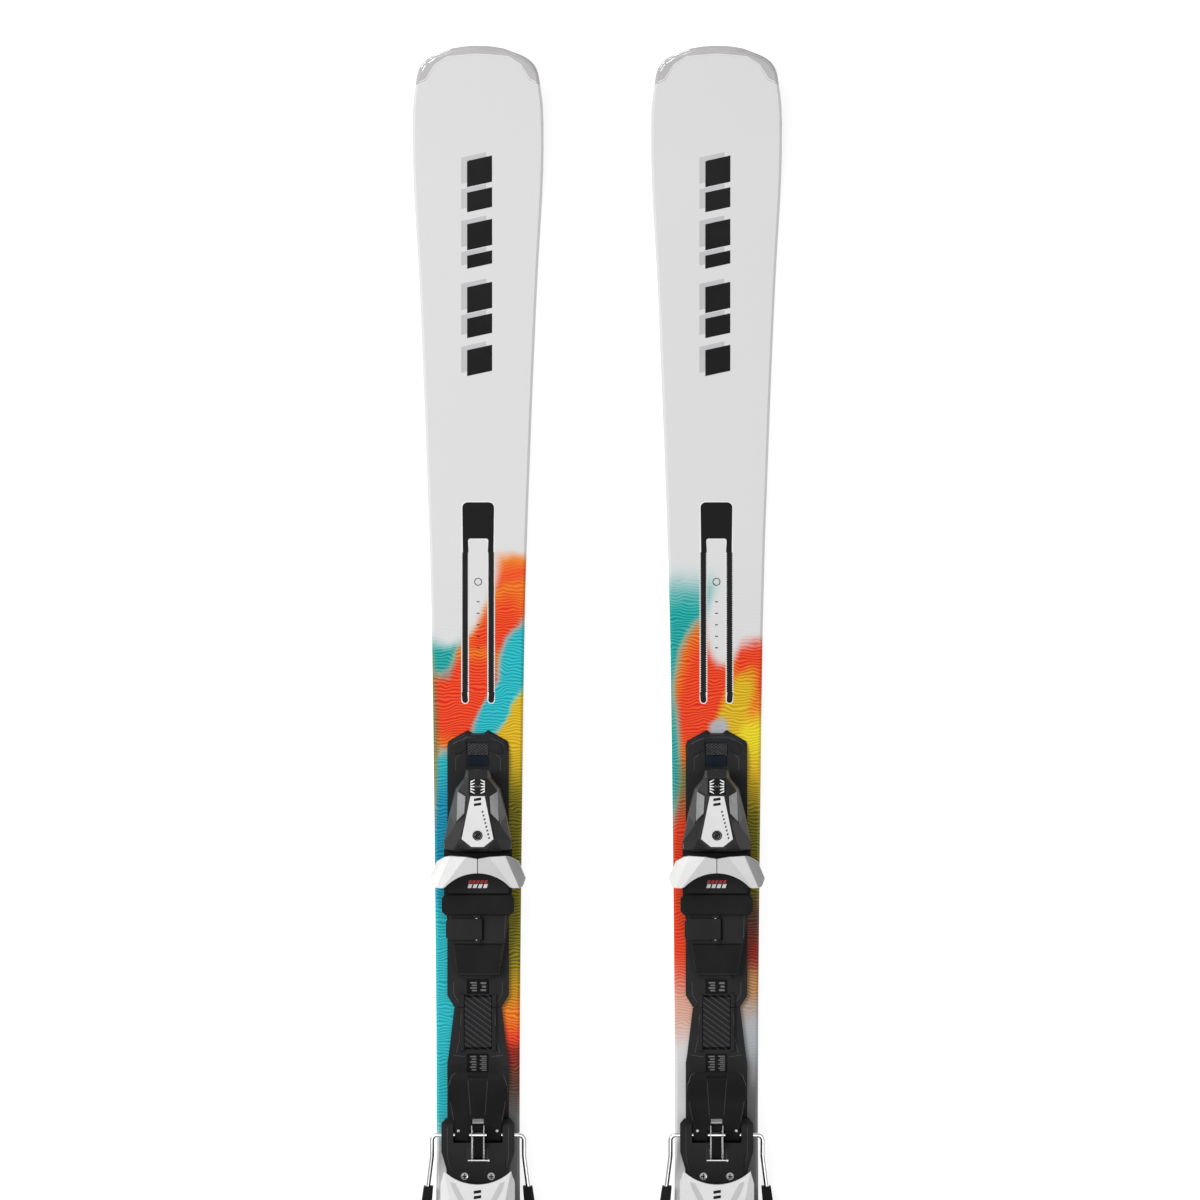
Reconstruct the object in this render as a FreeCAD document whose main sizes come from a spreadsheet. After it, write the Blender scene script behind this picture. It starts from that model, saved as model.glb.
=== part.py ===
import FreeCAD, Part
import math
import os
import Sketcher

# A pair of alpine skis with system bindings, millimetres, +Z up, +Y towards the ski tips.
# The origin is on the ground, midway between the skis and midway along them.
# Both skis are the same; each sub-part is built once for the left ski and once for the right.

V = FreeCAD.Vector
Turn = FreeCAD.Rotation
doc = FreeCAD.newDocument("AlpineSkis")

SHEET_ROWS = [
    # the ski
    ("ski_length", 1650, "straight length of one ski"),
    ("ski_pitch", 219.5, "centre line of one ski to the other"),
    ("tip_half", 60.2, "half width at the widest point of the shovel"),
    ("waist_half", 38.1, "half width at the waist"),
    ("tail_half", 52, "half width at the widest point of the tail"),
    ("camber_rise", 4, "height of the unloaded waist above the ground"),
    ("tip_rise", 52, "height of the tip's base above the ground"),
    ("tail_rise", 13, "height of the tail's base above the ground"),
    ("end_thick", 5.5, "ski thickness at both ends"),
    ("deck_top", 18, "height of the flat deck under the binding"),
    ("base_thick", 1.2, "thickness of the polyethylene running base"),
    ("edge_size", 2, "width and height of the steel edge"),
    ("wall_wide", 6, "width of the sidewall beside the core"),
    ("sheet_thick", 0.8, "thickness of the top sheet"),
    ("rim_bevel", 2.3, "bevel along the upper rim, which the top sheet wraps over"),
    # the track
    ("track_half", 28.3, "half width of the track plates"),
    ("track_top", 22, "top of the track plates beside the rail"),
    ("rail_half", 14, "half width of the dovetail rail at its top"),
    ("rail_top", 25, "top of the dovetail rail"),
    ("rail_undercut", 2, "how much narrower the dovetail is at its foot"),
    ("track_front", 196.2, "front of the track, forward of the origin"),
    ("track_split", -59, "seam between the two track plates, forward of the origin"),
    ("screw_side", 7, "centre line of the ski to a track screw"),
    ("screw_head", 4.4, "radius of a track screw's head"),
    ("screw_shank", 2.25, "radius of a track screw's shank"),
    ("slide_gap", 0.3, "clearance between parts that slide on each other"),
    # the toe piece
    ("toe_front", 160.5, "front of the toe housing"),
    ("toe_rear", 84.1, "rear of the toe housing"),
    ("toe_half", 31.3, "half width of the toe housing"),
    ("cover_thick", 1.6, "thickness of the toe piece's top cover"),
    ("base_top", 34, "top of the toe base"),
    ("wing_under", 42.4, "underside of the wings"),
    ("wing_top", 70, "top of the wings"),
    ("seat_front", 24.6, "centre of the toe seat, forward of the origin"),
    ("seat_radius", 48, "radius of the seat that holds the boot's toe"),
    ("lip_radius", 41, "radius of the lip above the boot's toe"),
    ("seat_top", 59.6, "underside of the lip above the boot's toe"),
    ("wing_pin", 2.5, "radius of a wing's pivot pin"),
    ("wing_pin_x", 16, "centre line of the ski to a wing's pivot pin"),
    ("wing_pin_y", 75.7, "wing pivot pins, forward of the origin"),
    ("pad_top", 40, "top of the sliding sole pad"),
    ("pad_half", 33.3, "half width of the sliding sole pad"),
    ("pin_play", 0.05, "radial running clearance of a pivot"),
    ("lever_pin", 1.2, "radius of the toe lock lever's pin"),
    ("lever_pin_x", -1.2, "toe lock lever's pin, across the ski"),
    ("lever_pin_z", 36.2, "toe lock lever's pin, above the ground"),
    ("coil_radius", 7, "mean radius of a release spring"),
    ("coil_wire", 1.4, "radius of a release spring's wire"),
    ("toe_axis", 53, "height of the toe spring's axis"),
    # the heel piece and the brake
    ("heel_top", 42, "top of the pad on the heel base, where the boot's heel stands"),
    ("heel_step", 1, "how far that pad stands above the rest of the heel base"),
    ("heel_half", 33.6, "half width of the heel base"),
    ("brake_y", -176, "brake pivot, forward of the origin"),
    ("brake_z", 32, "brake pivot, above the ground"),
    ("pedal_tilt", 20, "how far the brake pedal stands up at rest, in degrees"),
    ("arm_tilt", 11.6, "how far the brake arms slope down at rest, in degrees"),
    ("brake_wire", 2.25, "radius of the brake arms' wire"),
    ("arm_half", 42.6, "centre line of the ski to a brake arm"),
    ("cup_y", -312, "heel cup pivot, forward of the origin"),
    ("cup_z", 44, "heel cup pivot, above the ground"),
    ("cup_pin", 4, "radius of the heel cup's pivot pin"),
    ("cup_half", 34.2, "half width of the heel cup's jaw"),
    ("cup_neck", 27, "half width of the heel cup between its towers"),
    ("heel_seat", -175, "centre of the heel seat, forward of the origin"),
    ("heel_radius", 51.5, "radius of the seat that holds the boot's heel"),
    ("heel_lip", 44.8, "radius of the lip above the boot's heel"),
    ("lip_under", 72.6, "underside of the lip above the boot's heel"),
    ("heel_axis", 64, "height of the heel spring's axis"),
    ("lever_y", -318, "heel lever pivot, forward of the origin"),
    ("lever_z", 86, "heel lever pivot, above the ground"),
    ("trunnion", 2.5, "radius of the heel lever's trunnions"),
]


class Dim:
    """A size that knows its value and the spreadsheet expression that gives it."""

    def __init__(self, value, text):
        self.value = float(value)
        self.text = text

    def join(self, other, sign, value):
        return Dim(value, f"({self.text} {sign} {as_dim(other).text})")

    def __add__(self, other):
        return self.join(other, "+", self.value + as_dim(other).value)

    def __sub__(self, other):
        return self.join(other, "-", self.value - as_dim(other).value)

    def __mul__(self, other):
        return self.join(other, "*", self.value * as_dim(other).value)

    def __truediv__(self, other):
        return self.join(other, "/", self.value / as_dim(other).value)

    def __neg__(self):
        return Dim(-self.value, f"(0 - {self.text})")

    def __radd__(self, other):
        return as_dim(other) + self

    def __rsub__(self, other):
        return as_dim(other) - self

    def __rmul__(self, other):
        return as_dim(other) * self


def as_dim(size):
    """A plain number becomes a Dim too."""
    return size if isinstance(size, Dim) else Dim(size, f"({float(size)})")


def value(size):
    return as_dim(size).value


def bind(thing, path, size):
    """Binds a property to the spreadsheet if the size comes from there."""
    if isinstance(size, Dim):
        thing.setExpression(path, size.text)


class Sizes:
    """Every row of the spreadsheet, as an attribute that is a Dim."""

    def __init__(self, rows):
        sheet = doc.addObject("Spreadsheet::Sheet", "dims")
        for number, (alias, size, meaning) in enumerate(rows, start=1):
            sheet.set(f"A{number}", str(size))
            sheet.setAlias(f"A{number}", alias)
            sheet.set(f"B{number}", meaning)
            setattr(self, alias, Dim(size, f"<<dims>>.{alias}"))


S = Sizes(SHEET_ROWS)
doc.recompute()


# ---------------------------------------------------------------- PartDesign helpers

def new_body(name, side, turn=0, pivot=(0, 0)):
    """A body named as its node, put on its ski."""
    body = doc.addObject("PartDesign::Body", name)
    body.Label = name
    return place(body, side, turn, pivot)


def new_sketch(body, plane, start=0):
    """A sketch on one of the body's own origin planes, moved start along its normal."""
    support = [o for o in body.Origin.OriginFeatures if o.Role == f"{plane}_Plane"][0]
    sketch = body.newObject("Sketcher::SketchObject", f"{body.Name}_sketch")
    sketch.AttachmentSupport = (support, [""])
    sketch.MapMode = "FlatFace"
    sketch.AttachmentOffset = FreeCAD.Placement(V(0, 0, value(start)), Turn())
    bind(sketch, "AttachmentOffset.Base.z", start)
    return sketch


def pin_point(sketch, edge, end, point):
    """Fixes one end of an edge at a point measured from the sketch's origin."""
    for kind, size in zip(("DistanceX", "DistanceY"), point):
        number = sketch.addConstraint(Sketcher.Constraint(kind, -1, 1, edge, end, value(size)))
        bind(sketch, f"Constraints[{number}]", size)


def draw_loop(sketch, points):
    """A closed loop of straight edges through the points."""
    first = sketch.GeometryCount
    count = len(points)
    corners = [V(value(x), value(y), 0) for x, y in points]
    for i in range(count):
        sketch.addGeometry(Part.LineSegment(corners[i], corners[(i + 1) % count]), False)
    for i in range(count):
        sketch.addConstraint(Sketcher.Constraint("Coincident", first + i, 2, first + (i + 1) % count, 1))
        pin_point(sketch, first + i, 1, points[i])


def draw_circle(sketch, centre, radius):
    edge = sketch.addGeometry(Part.Circle(V(value(centre[0]), value(centre[1]), 0), V(0, 0, 1), value(radius)))
    pin_point(sketch, edge, 3, centre)
    number = sketch.addConstraint(Sketcher.Constraint("Radius", edge, value(radius)))
    bind(sketch, f"Constraints[{number}]", radius)


def mirrored(half):
    """The right half of an outline, front to rear, made into the whole outline."""
    left = [(-x, y) for x, y in reversed(half) if value(x) != 0]
    return list(half) + left


def finish_feature(feature, sketch, length, both):
    feature.Profile = (sketch, [""])
    if length is None:
        feature.Type = "ThroughAll"
    else:
        feature.Length = value(length)
        bind(feature, "Length", length)
    feature.SideType = "Symmetric" if both else "One side"
    return feature


def pad(body, plane, loops, start, length, both=False):
    sketch = new_sketch(body, plane, start)
    for points in loops:
        draw_loop(sketch, points)
    return finish_feature(body.newObject("PartDesign::Pad", "Pad"), sketch, length, both)


def pad_disc(body, plane, centre, radius, start, length, both=False):
    sketch = new_sketch(body, plane, start)
    draw_circle(sketch, centre, radius)
    return finish_feature(body.newObject("PartDesign::Pad", "Disc"), sketch, length, both)


def pocket(body, plane, loops, start, length, both=False):
    """Cuts upwards along the plane's normal from start, or all the way if length is None."""
    sketch = new_sketch(body, plane, start)
    for points in loops:
        draw_loop(sketch, points)
    cut = finish_feature(body.newObject("PartDesign::Pocket", "Pocket"), sketch, length, both)
    cut.Reversed = not both
    return cut


def bore(body, plane, centres, radius, start, length, both=False):
    """Round holes, along the plane's normal from start, or all the way if length is None."""
    sketch = new_sketch(body, plane, start)
    for centre in centres:
        draw_circle(sketch, centre, radius)
    cut = finish_feature(body.newObject("PartDesign::Pocket", "Bore"), sketch, length, both)
    cut.Reversed = not both
    return cut


def trim(body, plane, outline):
    """Keeps only what is inside the outline, looking along the plane's normal."""
    reach = 2000
    around = [(-reach, -reach), (reach, -reach), (reach, reach), (-reach, reach)]
    return pocket(body, plane, [around, outline], 0, None, both=True)


def soften(body, size, picks, kind="Chamfer"):
    """Chamfers or fillets the edges of the body's last feature that picks(edge) is true for."""
    doc.recompute()
    tip = body.Tip
    names = [f"Edge{n}" for n, edge in enumerate(tip.Shape.Edges, start=1) if picks(edge)]
    feature = body.newObject(f"PartDesign::{kind}", kind)
    feature.Base = (tip, names)
    setattr(feature, "Size" if kind == "Chamfer" else "Radius", value(size))
    body.Tip = feature
    return feature


def at_height(height, slack=0.01):
    """Picks the edges that lie flat at a height, in the body's own frame."""
    def picks(edge):
        box = edge.BoundBox
        return abs(box.ZMin - height) < slack and abs(box.ZMax - height) < slack
    return picks

# ---------------------------------------------------------------- Part primitive helpers

AXIS_TURN = {"X": Turn(V(0, 1, 0), 90), "Y": Turn(V(1, 0, 0), -90), "Z": Turn()}


def primitive(kind, name, start, axis, sizes):
    """A Part primitive whose own Z runs along axis from start."""
    thing = doc.addObject(f"Part::{kind}", name)
    thing.Placement = FreeCAD.Placement(V(*[value(size) for size in start]), AXIS_TURN[axis])
    for letter, size in zip("xyz", start):
        bind(thing, f"Placement.Base.{letter}", size)
    for prop, size in sizes.items():
        setattr(thing, prop, value(size))
        bind(thing, prop, size)
    return thing


def rod(name, start, axis, radius, length):
    return primitive("Cylinder", name, start, axis, {"Radius": radius, "Height": length})


def group(name, side, members, turn=0, pivot=(0, 0)):
    """Several separate solids as one node."""
    node = doc.addObject("Part::Compound", name)
    node.Label = name
    node.Links = members
    return place(node, side, turn, pivot)


def place(node, side, turn=0, pivot=(0, 0)):
    """Puts a node on its ski. turn is degrees about X at the pivot's (y, z)."""
    node.Placement = FreeCAD.Placement(V(0, value(pivot[0]), value(pivot[1])), Turn(V(1, 0, 0), value(turn)))
    node.setExpression("Placement.Base.x", (S.ski_pitch * (side * 0.5)).text)
    bind(node, "Placement.Base.y", pivot[0])
    bind(node, "Placement.Base.z", pivot[1])
    bind(node, "Placement.Rotation.Angle", turn)
    return node


def shape_node(name, side, shape, turn=0, pivot=(0, 0)):
    node = doc.addObject("Part::Feature", name)
    node.Label = name
    node.Shape = shape.copy()
    return place(node, side, turn, pivot)


def swept_round(path, radius):
    """A round bar along a wire that starts along its own first edge."""
    start = path.Edges[0].valueAt(path.Edges[0].FirstParameter)
    along = path.Edges[0].tangentAt(path.Edges[0].FirstParameter)
    circle = Part.Wire([Part.makeCircle(radius, start, along)])
    return path.makePipeShell([circle], True, True)


def rounded_path(points, bend):
    """Straight runs through the points with round bends between them."""
    edges, previous = [], points[0]
    for before, corner, after in zip(points, points[1:], points[2:]):
        into, out = (before - corner).normalize(), (after - corner).normalize()
        half_angle = into.getAngle(out) / 2
        back = bend / math.tan(half_angle)
        start, end = corner + into * back, corner + out * back
        middle = corner + (into + out).normalize() * (bend / math.sin(half_angle) - bend)
        edges += [Part.makeLine(previous, start), Part.Arc(start, middle, end).toShape()]
        previous = end
    edges.append(Part.makeLine(previous, points[-1]))
    return Part.Wire(edges)


def coil(front, rear, height, turns):
    """A compression spring along Y between front and rear, its axis at a height."""
    wire, radius = S.coil_wire.value, S.coil_radius.value
    length = front - rear - 2 * wire
    helix = Part.makeHelix(length / turns, length, radius)
    profile = Part.Wire([Part.makeCircle(wire, V(radius, 0, 0), V(0, 1, 0))])
    spring = Part.Wire(helix).makePipeShell([profile], True, True)
    return spring.transformed(FreeCAD.Placement(V(0, rear + wire, height), AXIS_TURN["Y"]).toMatrix(), copy=True)


# ---------------------------------------------------------------- the laminated ski

def ski_outline():
    """Right-hand outline of the ski as seen from above, tip to tail."""
    tip = S.ski_length.value / 2
    wide, waist, tail = S.tip_half.value, S.waist_half.value, S.tail_half.value
    return [
        (0, tip), (24, tip - 2.6), (40, tip - 8.6), (49.4, tip - 14.6), (54.4, tip - 22), (57, tip - 34), (59, tip - 48),
        (wide, tip - 72), (wide - 0.3, tip - 112), (55.8, tip - 190), (52.2, tip - 262), (49.2, tip - 335),
        (46.3, tip - 410), (43.8, tip - 485), (41.2, tip - 630), (39.5, tip - 775), (waist + 0.3, tip - 900),
        (waist, tip - 1000), (39.3, tip - 1130), (42.2, tip - 1270), (46.6, tip - 1410), (tail - 0.4, tip - 1540),
        (tail, tip - 1590), (tail - 2.4, tip - 1620), (tail - 10, tip - 1638), (26, tip - 1647), (0, tip - 1650),
    ]


def spline(points):
    curve = Part.BSplineCurve()
    curve.interpolate(Points=points)
    return curve.toShape()


def plan_prism(inset):
    """A tall solid whose plan is the ski's outline moved in by inset: an arc at each end and two long curves."""
    half = ski_outline()
    loop = [(-x, y) for x, y in half] + half[-2:0:-1]
    moved = []
    for i, (x, y) in enumerate(loop):
        (x0, y0), (x1, y1) = loop[i - 1], loop[(i + 1) % len(loop)]
        length = math.hypot(x1 - x0, y1 - y0)
        moved.append(V(x + inset * (y0 - y1) / length, y + inset * (x1 - x0) / length, 0))
    tail = len(half) - 1
    tip_arc = Part.Arc(moved[-1], moved[0], moved[1]).toShape()
    tail_arc = Part.Arc(moved[tail - 1], moved[tail], moved[tail + 1]).toShape()
    loop_edges = [tip_arc, spline(moved[1:tail]), tail_arc, spline(moved[tail + 1:])]
    prism = Part.Face(Part.Wire(loop_edges)).extrude(V(0, 0, 120))
    prism.translate(V(0, 0, -20))
    return prism


def side_prism(edges):
    """A solid wider than the ski whose side view is the loop of edges in the Y-Z plane."""
    solid = Part.Face(Part.Wire(edges)).extrude(V(160, 0, 0))
    solid.translate(V(-80, 0, 0))
    return solid


def corner_lines(points):
    return [Part.makeLine(V(0, *a), V(0, *b)) for a, b in zip(points, points[1:])]


def slab_above(lift):
    """Everything above the running surface raised by lift: camber, two contact points, upturned ends."""
    end = S.ski_length.value / 2
    camber, tip, tail = S.camber_rise.value, S.tip_rise.value, S.tail_rise.value
    stations = [
        (-end, tail), (-end + 30, tail * 0.5), (-end + 62, tail * 0.2), (-end + 100, 0.6), (-end + 180, 0.5),
        (-400, camber * 0.64), (-60, camber), (300, camber * 0.6), (540, 0.7), (end - 205, 0.5),
        (end - 150, tip * 0.07), (end - 105, tip * 0.25), (end - 60, tip * 0.53), (end - 25, tip * 0.79), (end, tip),
    ]
    lower = spline([V(0, y, z + lift) for y, z in stations])
    top, reach = 130, end + 20
    first, last = stations[0][1] + lift, stations[-1][1] + lift
    around = [(end, last), (reach, last), (reach, top), (-reach, top), (-reach, first), (-end, first)]
    return side_prism([lower] + corner_lines(around))


def slab_below(drop):
    """Everything below the ski's upper surface lowered by drop; its middle is flat for the binding."""
    end = S.ski_length.value / 2
    deck, thick = S.deck_top.value - drop, S.end_thick.value - drop
    tip, tail = S.tip_rise.value, S.tail_rise.value
    flat_front, flat_rear = 215, -365
    fore = [
        (end, tip + thick), (end - 25, tip * 0.79 + thick), (end - 60, tip * 0.53 + thick),
        (end - 105, tip * 0.25 + thick + 0.1), (end - 150, tip * 0.07 + thick + 0.5), (end - 205, thick + 1.6),
        (470, thick + 5), (330, thick + 9.6), (flat_front, deck),
    ]
    aft = [
        (flat_rear, deck), (-480, thick + 9.4), (-600, thick + 5), (-end + 100, thick + 1.6),
        (-end + 62, tail * 0.2 + thick + 0.4), (-end + 30, tail * 0.5 + thick + 0.2), (-end, tail + thick),
    ]
    front = spline([V(0, y, z) for y, z in fore])
    rear = spline([V(0, y, z) for y, z in aft])
    low, reach = -40, end + 20
    first, last = fore[0][1], aft[-1][1]
    around = [(-end, last), (-reach, last), (-reach, low), (reach, low), (reach, first), (end, first)]
    return side_prism([front, Part.makeLine(V(0, *fore[-1]), V(0, *aft[0])), rear] + corner_lines(around))


def guard_zones():
    """The two end regions that the guards fill, as tall solids: tip first, then tail."""
    tip, tail = S.ski_length.value / 2, -S.ski_length.value / 2
    half = [(0, tip - 8.2), (27.5, tip - 10.5), (38.8, tip - 17.7), (47, tip - 31), (57, tip - 35.5), (70, tip - 36)]
    front = half + [(70, tip + 10), (-70, tip + 10)] + [(-x, y) for x, y in reversed(half[1:])]
    rear = [(-70, tail + 14), (70, tail + 14), (70, tail - 10), (-70, tail - 10)]
    zones = []
    for outline in (front, rear):
        corners = [V(x, y, -30) for x, y in outline + outline[:1]]
        zones.append(Part.Face(Part.makePolygon(corners)).extrude(V(0, 0, 160)))
    return zones


SCREW_ROWS = (118, 12, -128, -345)    # track screws along the ski: front plate, then rear plate


def screw_places():
    return [(sign * S.screw_side, y) for y in SCREW_ROWS for sign in (-1, 1)]


def upper_rim(blank):
    """The edges of the blank where its upper surface meets its sides."""
    rim = []
    for edge in blank.Edges:
        rises = []
        for face in blank.ancestorsOfType(edge, Part.Face):
            u0, u1, v0, v1 = face.ParameterRange
            rises.append(face.normalAt((u0 + u1) / 2, (v0 + v1) / 2).z)
        if min(rises) < 0.02 and max(rises) > 0.3:
            rim.append(edge)
    return rim


def laminate():
    """The ski's layers as {node: shape} about the ski's own centre line."""
    full, within_edges, core_plan = plan_prism(0), plan_prism(S.edge_size.value), plan_prism(S.wall_wide.value)
    blank = full.common(slab_above(0)).common(slab_below(0))
    blank = blank.makeChamfer(S.rim_bevel.value, upper_rim(blank))
    lowered = blank.copy()
    lowered.translate(V(0, 0, -S.sheet_thick.value))
    zones = Part.makeCompound(guard_zones())
    holes = Part.makeCompound([
        Part.makeCylinder(S.screw_shank.value, 40, V(value(x), y, S.deck_top.value - 10)) for x, y in screw_places()
    ])
    middle = blank.cut(zones)
    sheet = middle.cut(lowered)
    under = middle.common(lowered)
    above_base, above_edge = slab_above(S.base_thick.value), slab_above(S.edge_size.value)
    edges = under.cut(above_edge).cut(within_edges)
    body = under.common(above_base)
    return {
        "running_base": under.cut(above_base).common(within_edges),
        "steel_edges": edges,
        "wood_core": body.common(core_plan).cut(holes),
        "sidewalls": body.cut(core_plan).cut(edges),
        "top_sheet": sheet.cut(holes),
        "end_guards": Part.makeCompound([blank.common(zone) for zone in guard_zones()]),
    }


LAYERS = laminate()


# ---------------------------------------------------------------- the track

def rail(body, front, rear):
    """The dovetail rail on a track plate: a trapezoid, wider at its top, run along the ski."""
    foot = S.rail_half - S.rail_undercut
    section = [(S.rail_half, S.rail_top), (foot, S.track_top)]
    pad(body, "XZ", [mirrored(section)], -front, front - rear)


def screw_seats(body, rows):
    """Through holes for the track screws, with room for their heads."""
    centres = [(x, y) for x, y in screw_places() if y in rows]
    bore(body, "XY", centres, S.screw_shank, 0, None)
    bore(body, "XY", centres, S.screw_head, S.track_top, None)


def link_cheeks(front, rear):
    """The two ridges beside the flexible link, as loops seen from above."""
    inner, outer = 12.9, 16.6
    right = [(inner, front), (outer, front), (outer, rear), (inner, rear)]
    return [right, [(-x, y) for x, y in right]]


def front_track(name, side):
    body = new_body(name, side)
    half, front, split = S.track_half, S.track_front, S.track_split
    plan = [(5.4, front - 2.8), (9.3, front), (27.2, front - 10.2), (half, front - 14), (half, -48), (21.8, split + 0.2)]
    pad(body, "XY", [mirrored(plan)], S.deck_top, S.track_top - S.deck_top)
    soften(body, 2.4, lambda edge: at_height(S.track_top.value)(edge) and edge.CenterOfMass.y > front.value - 13)
    rail(body, 148, -32)
    pad(body, "XY", link_cheeks(-46.6, split + 0.2), S.track_top, S.rail_top - S.track_top)
    scale_window = [(7.8, 172.8), (7.8, 163.5)]
    channel = [(10.4, front - 11), (10.4, 150)]
    rear_window = [(10, -33.4), (10, -46.2)]
    pocket(body, "XY", [mirrored(channel)], S.track_top - 0.8, None)
    pocket(body, "XY", [mirrored(scale_window), mirrored(rear_window)], S.track_top - 1.8, None)
    screw_seats(body, SCREW_ROWS[:2])
    return body


def rear_track(name, side):
    body = new_body(name, side)
    half, split, rear = S.track_half, S.track_split, -386
    plan = [(21.8, split - 0.2), (27, -102.4), (half, -110), (half, rear + 8), (half - 8, rear)]
    pad(body, "XY", [mirrored(plan)], S.deck_top, S.track_top - S.deck_top)
    rail(body, -122, rear + 6)
    pad(body, "XY", link_cheeks(split - 0.2, -99), S.track_top, S.rail_top - S.track_top)
    pocket(body, "XY", [mirrored([(10, -102), (10, -119)])], S.track_top - 1.8, None)
    screw_seats(body, SCREW_ROWS[2:])
    return body


def flex_link(name, side):
    """The strip that ties both plates together and bends with the ski."""
    body = new_body(name, side)
    plan = mirrored([(12.4, -47.6), (12.4, -97.8)])
    pad(body, "XY", [plan], S.track_top, S.rail_top - S.track_top)
    trim(body, "YZ", [(-47.6, S.track_top), (-50, S.rail_top), (-95.4, S.rail_top), (-97.8, S.track_top)])
    return body


def track_screws(name, side):
    head_rise, shank_low = 2.4, 8.5
    members = []
    for number, (x, y) in enumerate(screw_places()):
        head = rod(f"{name}_head{number}", (x, y, S.track_top), "Z", S.screw_head - 0.1, head_rise)
        shank = rod(f"{name}_shank{number}", (x, y, shank_low), "Z", S.screw_shank - 0.05, S.track_top - shank_low)
        screw = doc.addObject("Part::MultiFuse", f"{name}_screw{number}")
        screw.Shapes = [head, shank]
        members.append(screw)
    return group(name, side, members)


# ---------------------------------------------------------------- the toe piece

def dovetail_channel(body):
    """Frees a carriage's underside from the rail, with sliding clearance all round."""
    foot = S.rail_half - S.rail_undercut + 0.4
    top = S.rail_half + 0.6
    section = [(top, S.rail_top + S.slide_gap), (foot, S.track_top)]
    pocket(body, "XZ", [mirrored(section)], 0, None, both=True)


def toe_base(name, side):
    body = new_body(name, side)
    low, top, half = S.track_top + S.slide_gap, S.base_top, S.toe_half
    plan = [(10.4, 158), (13, 148), (21, 141), (27.5, 112), (half, 93), (half, 47), (29, 26), (25, 1.6), (19.6, -28.8)]
    pad(body, "XY", [mirrored(plan)], low, top - low)
    pad(body, "XY", [mirrored([(29, 83.4), (29, 66.6)])], top, S.wing_under - 0.4 - top)
    pad(body, "XY", [mirrored([(26, 66.6), (28, 60), (28, 46.4)])], top, S.pad_top - 0.6 - top)
    ears = [[(-4.4, y), (2, y), (2, y - 2.6), (-4.4, y - 2.6)] for y in (26, 3)]
    pad(body, "XY", ears, top, 4.8)
    dovetail_channel(body)
    tail_step = [(-40, top - 3.6), (0.2, top - 3.6), (0.2, top + 6), (-40, top + 6)]
    pad_groove = [(31.4, top - 3.5), (33, top + 0.5), (38.6, top + 0.5), (40.2, top - 3.5)]
    pocket(body, "YZ", [tail_step], 0, None, both=True)
    pocket(body, "YZ", [pad_groove], 0, None, both=True)
    pocket(body, "XY", [[(-7.5, 23.1), (5.5, 23.1), (5.5, 3.3), (-7.5, 3.3)]], top - 5.5, None)
    bore(body, "XZ", [(S.lever_pin_x, S.lever_pin_z)], S.lever_pin, -26.5, 27)
    bore(body, "XY", [(-S.wing_pin_x, S.wing_pin_y), (S.wing_pin_x, S.wing_pin_y)], S.wing_pin, 27, None)
    return body


TOE_RIDGE = [(136, 67.5), (118, 72), (95, 74), (89, 73.3)]


def toe_housing(name, side):
    body = new_body(name, side)
    front, rear, half = S.toe_front, S.toe_rear, S.toe_half
    plan = [(10.6, front), (12.6, 153), (20.8, 143), (26.4, 118), (30.4, 94), (half, 90), (half, rear + 2.2), (20, rear)]
    pad(body, "XY", [mirrored(plan)], S.base_top, 42)
    side_view = [(front, S.base_top), (front, 60), (153.5, 63.5)] + TOE_RIDGE + [(rear, 71.5), (rear, S.base_top)]
    trim(body, "YZ", side_view)
    trim(body, "XZ", mirrored([(17, 76), (24.5, 67), (34, 52), (34, S.base_top)]))
    pocket(body, "XY", [mirrored([(8.5, 152.9), (8.5, 137.2)])], 62.6, None)
    bore(body, "XZ", [(0, S.toe_axis)], 9, -147, 58.5)
    bore(body, "XZ", [(0, S.toe_axis)], 6.2, -front - 1, 20)
    return body


def toe_cover(name, side):
    body = new_body(name, side)
    plan = [(6.5, 136), (14.6, 96.8), (5.6, 89.6)]
    pad(body, "XY", [mirrored(plan)], 60, 30)
    upper = [(y, z + S.cover_thick) for y, z in reversed(TOE_RIDGE)]
    trim(body, "YZ", TOE_RIDGE + upper)
    bore(body, "XY", [(0, 100)], 3.5, 50, None)
    return body


def toe_pins(name, side):
    members = []
    for number, x in enumerate((-S.wing_pin_x, S.wing_pin_x)):
        members.append(rod(f"{name}_wing{number}", (x, S.wing_pin_y, 27), "Z", S.wing_pin, 39))
    members.append(rod(f"{name}_lever", (S.lever_pin_x, 0.6, S.lever_pin_z), "Y", S.lever_pin, 25.2))
    return group(name, side, members)


def toe_spring(name, side):
    """The release spring, and the piston it presses against."""
    piston = Part.makeCylinder(8.4, 3, V(0, 89, S.toe_axis.value), V(0, 1, 0))
    return shape_node(name, side, Part.makeCompound([coil(140, 92.2, S.toe_axis.value, 7), piston]))


def toe_screw(name, side):
    """The release adjusting screw: head, shank and spring seat, turned about Y."""
    body = new_body(name, side)
    centre, front = (0, S.toe_axis), S.toe_front
    pad_disc(body, "XZ", centre, 5.9, -front + 0.6, 5)
    pad_disc(body, "XZ", centre, 4.5, -front + 4, 14)
    pad_disc(body, "XZ", centre, 8.6, -145, 4.6)
    slot = [[(-4.2, S.toe_axis + 0.7), (4.2, S.toe_axis + 0.7), (4.2, S.toe_axis - 0.7), (-4.2, S.toe_axis - 0.7)]]
    pocket(body, "XZ", slot, -front, 2.2)
    return body


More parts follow.
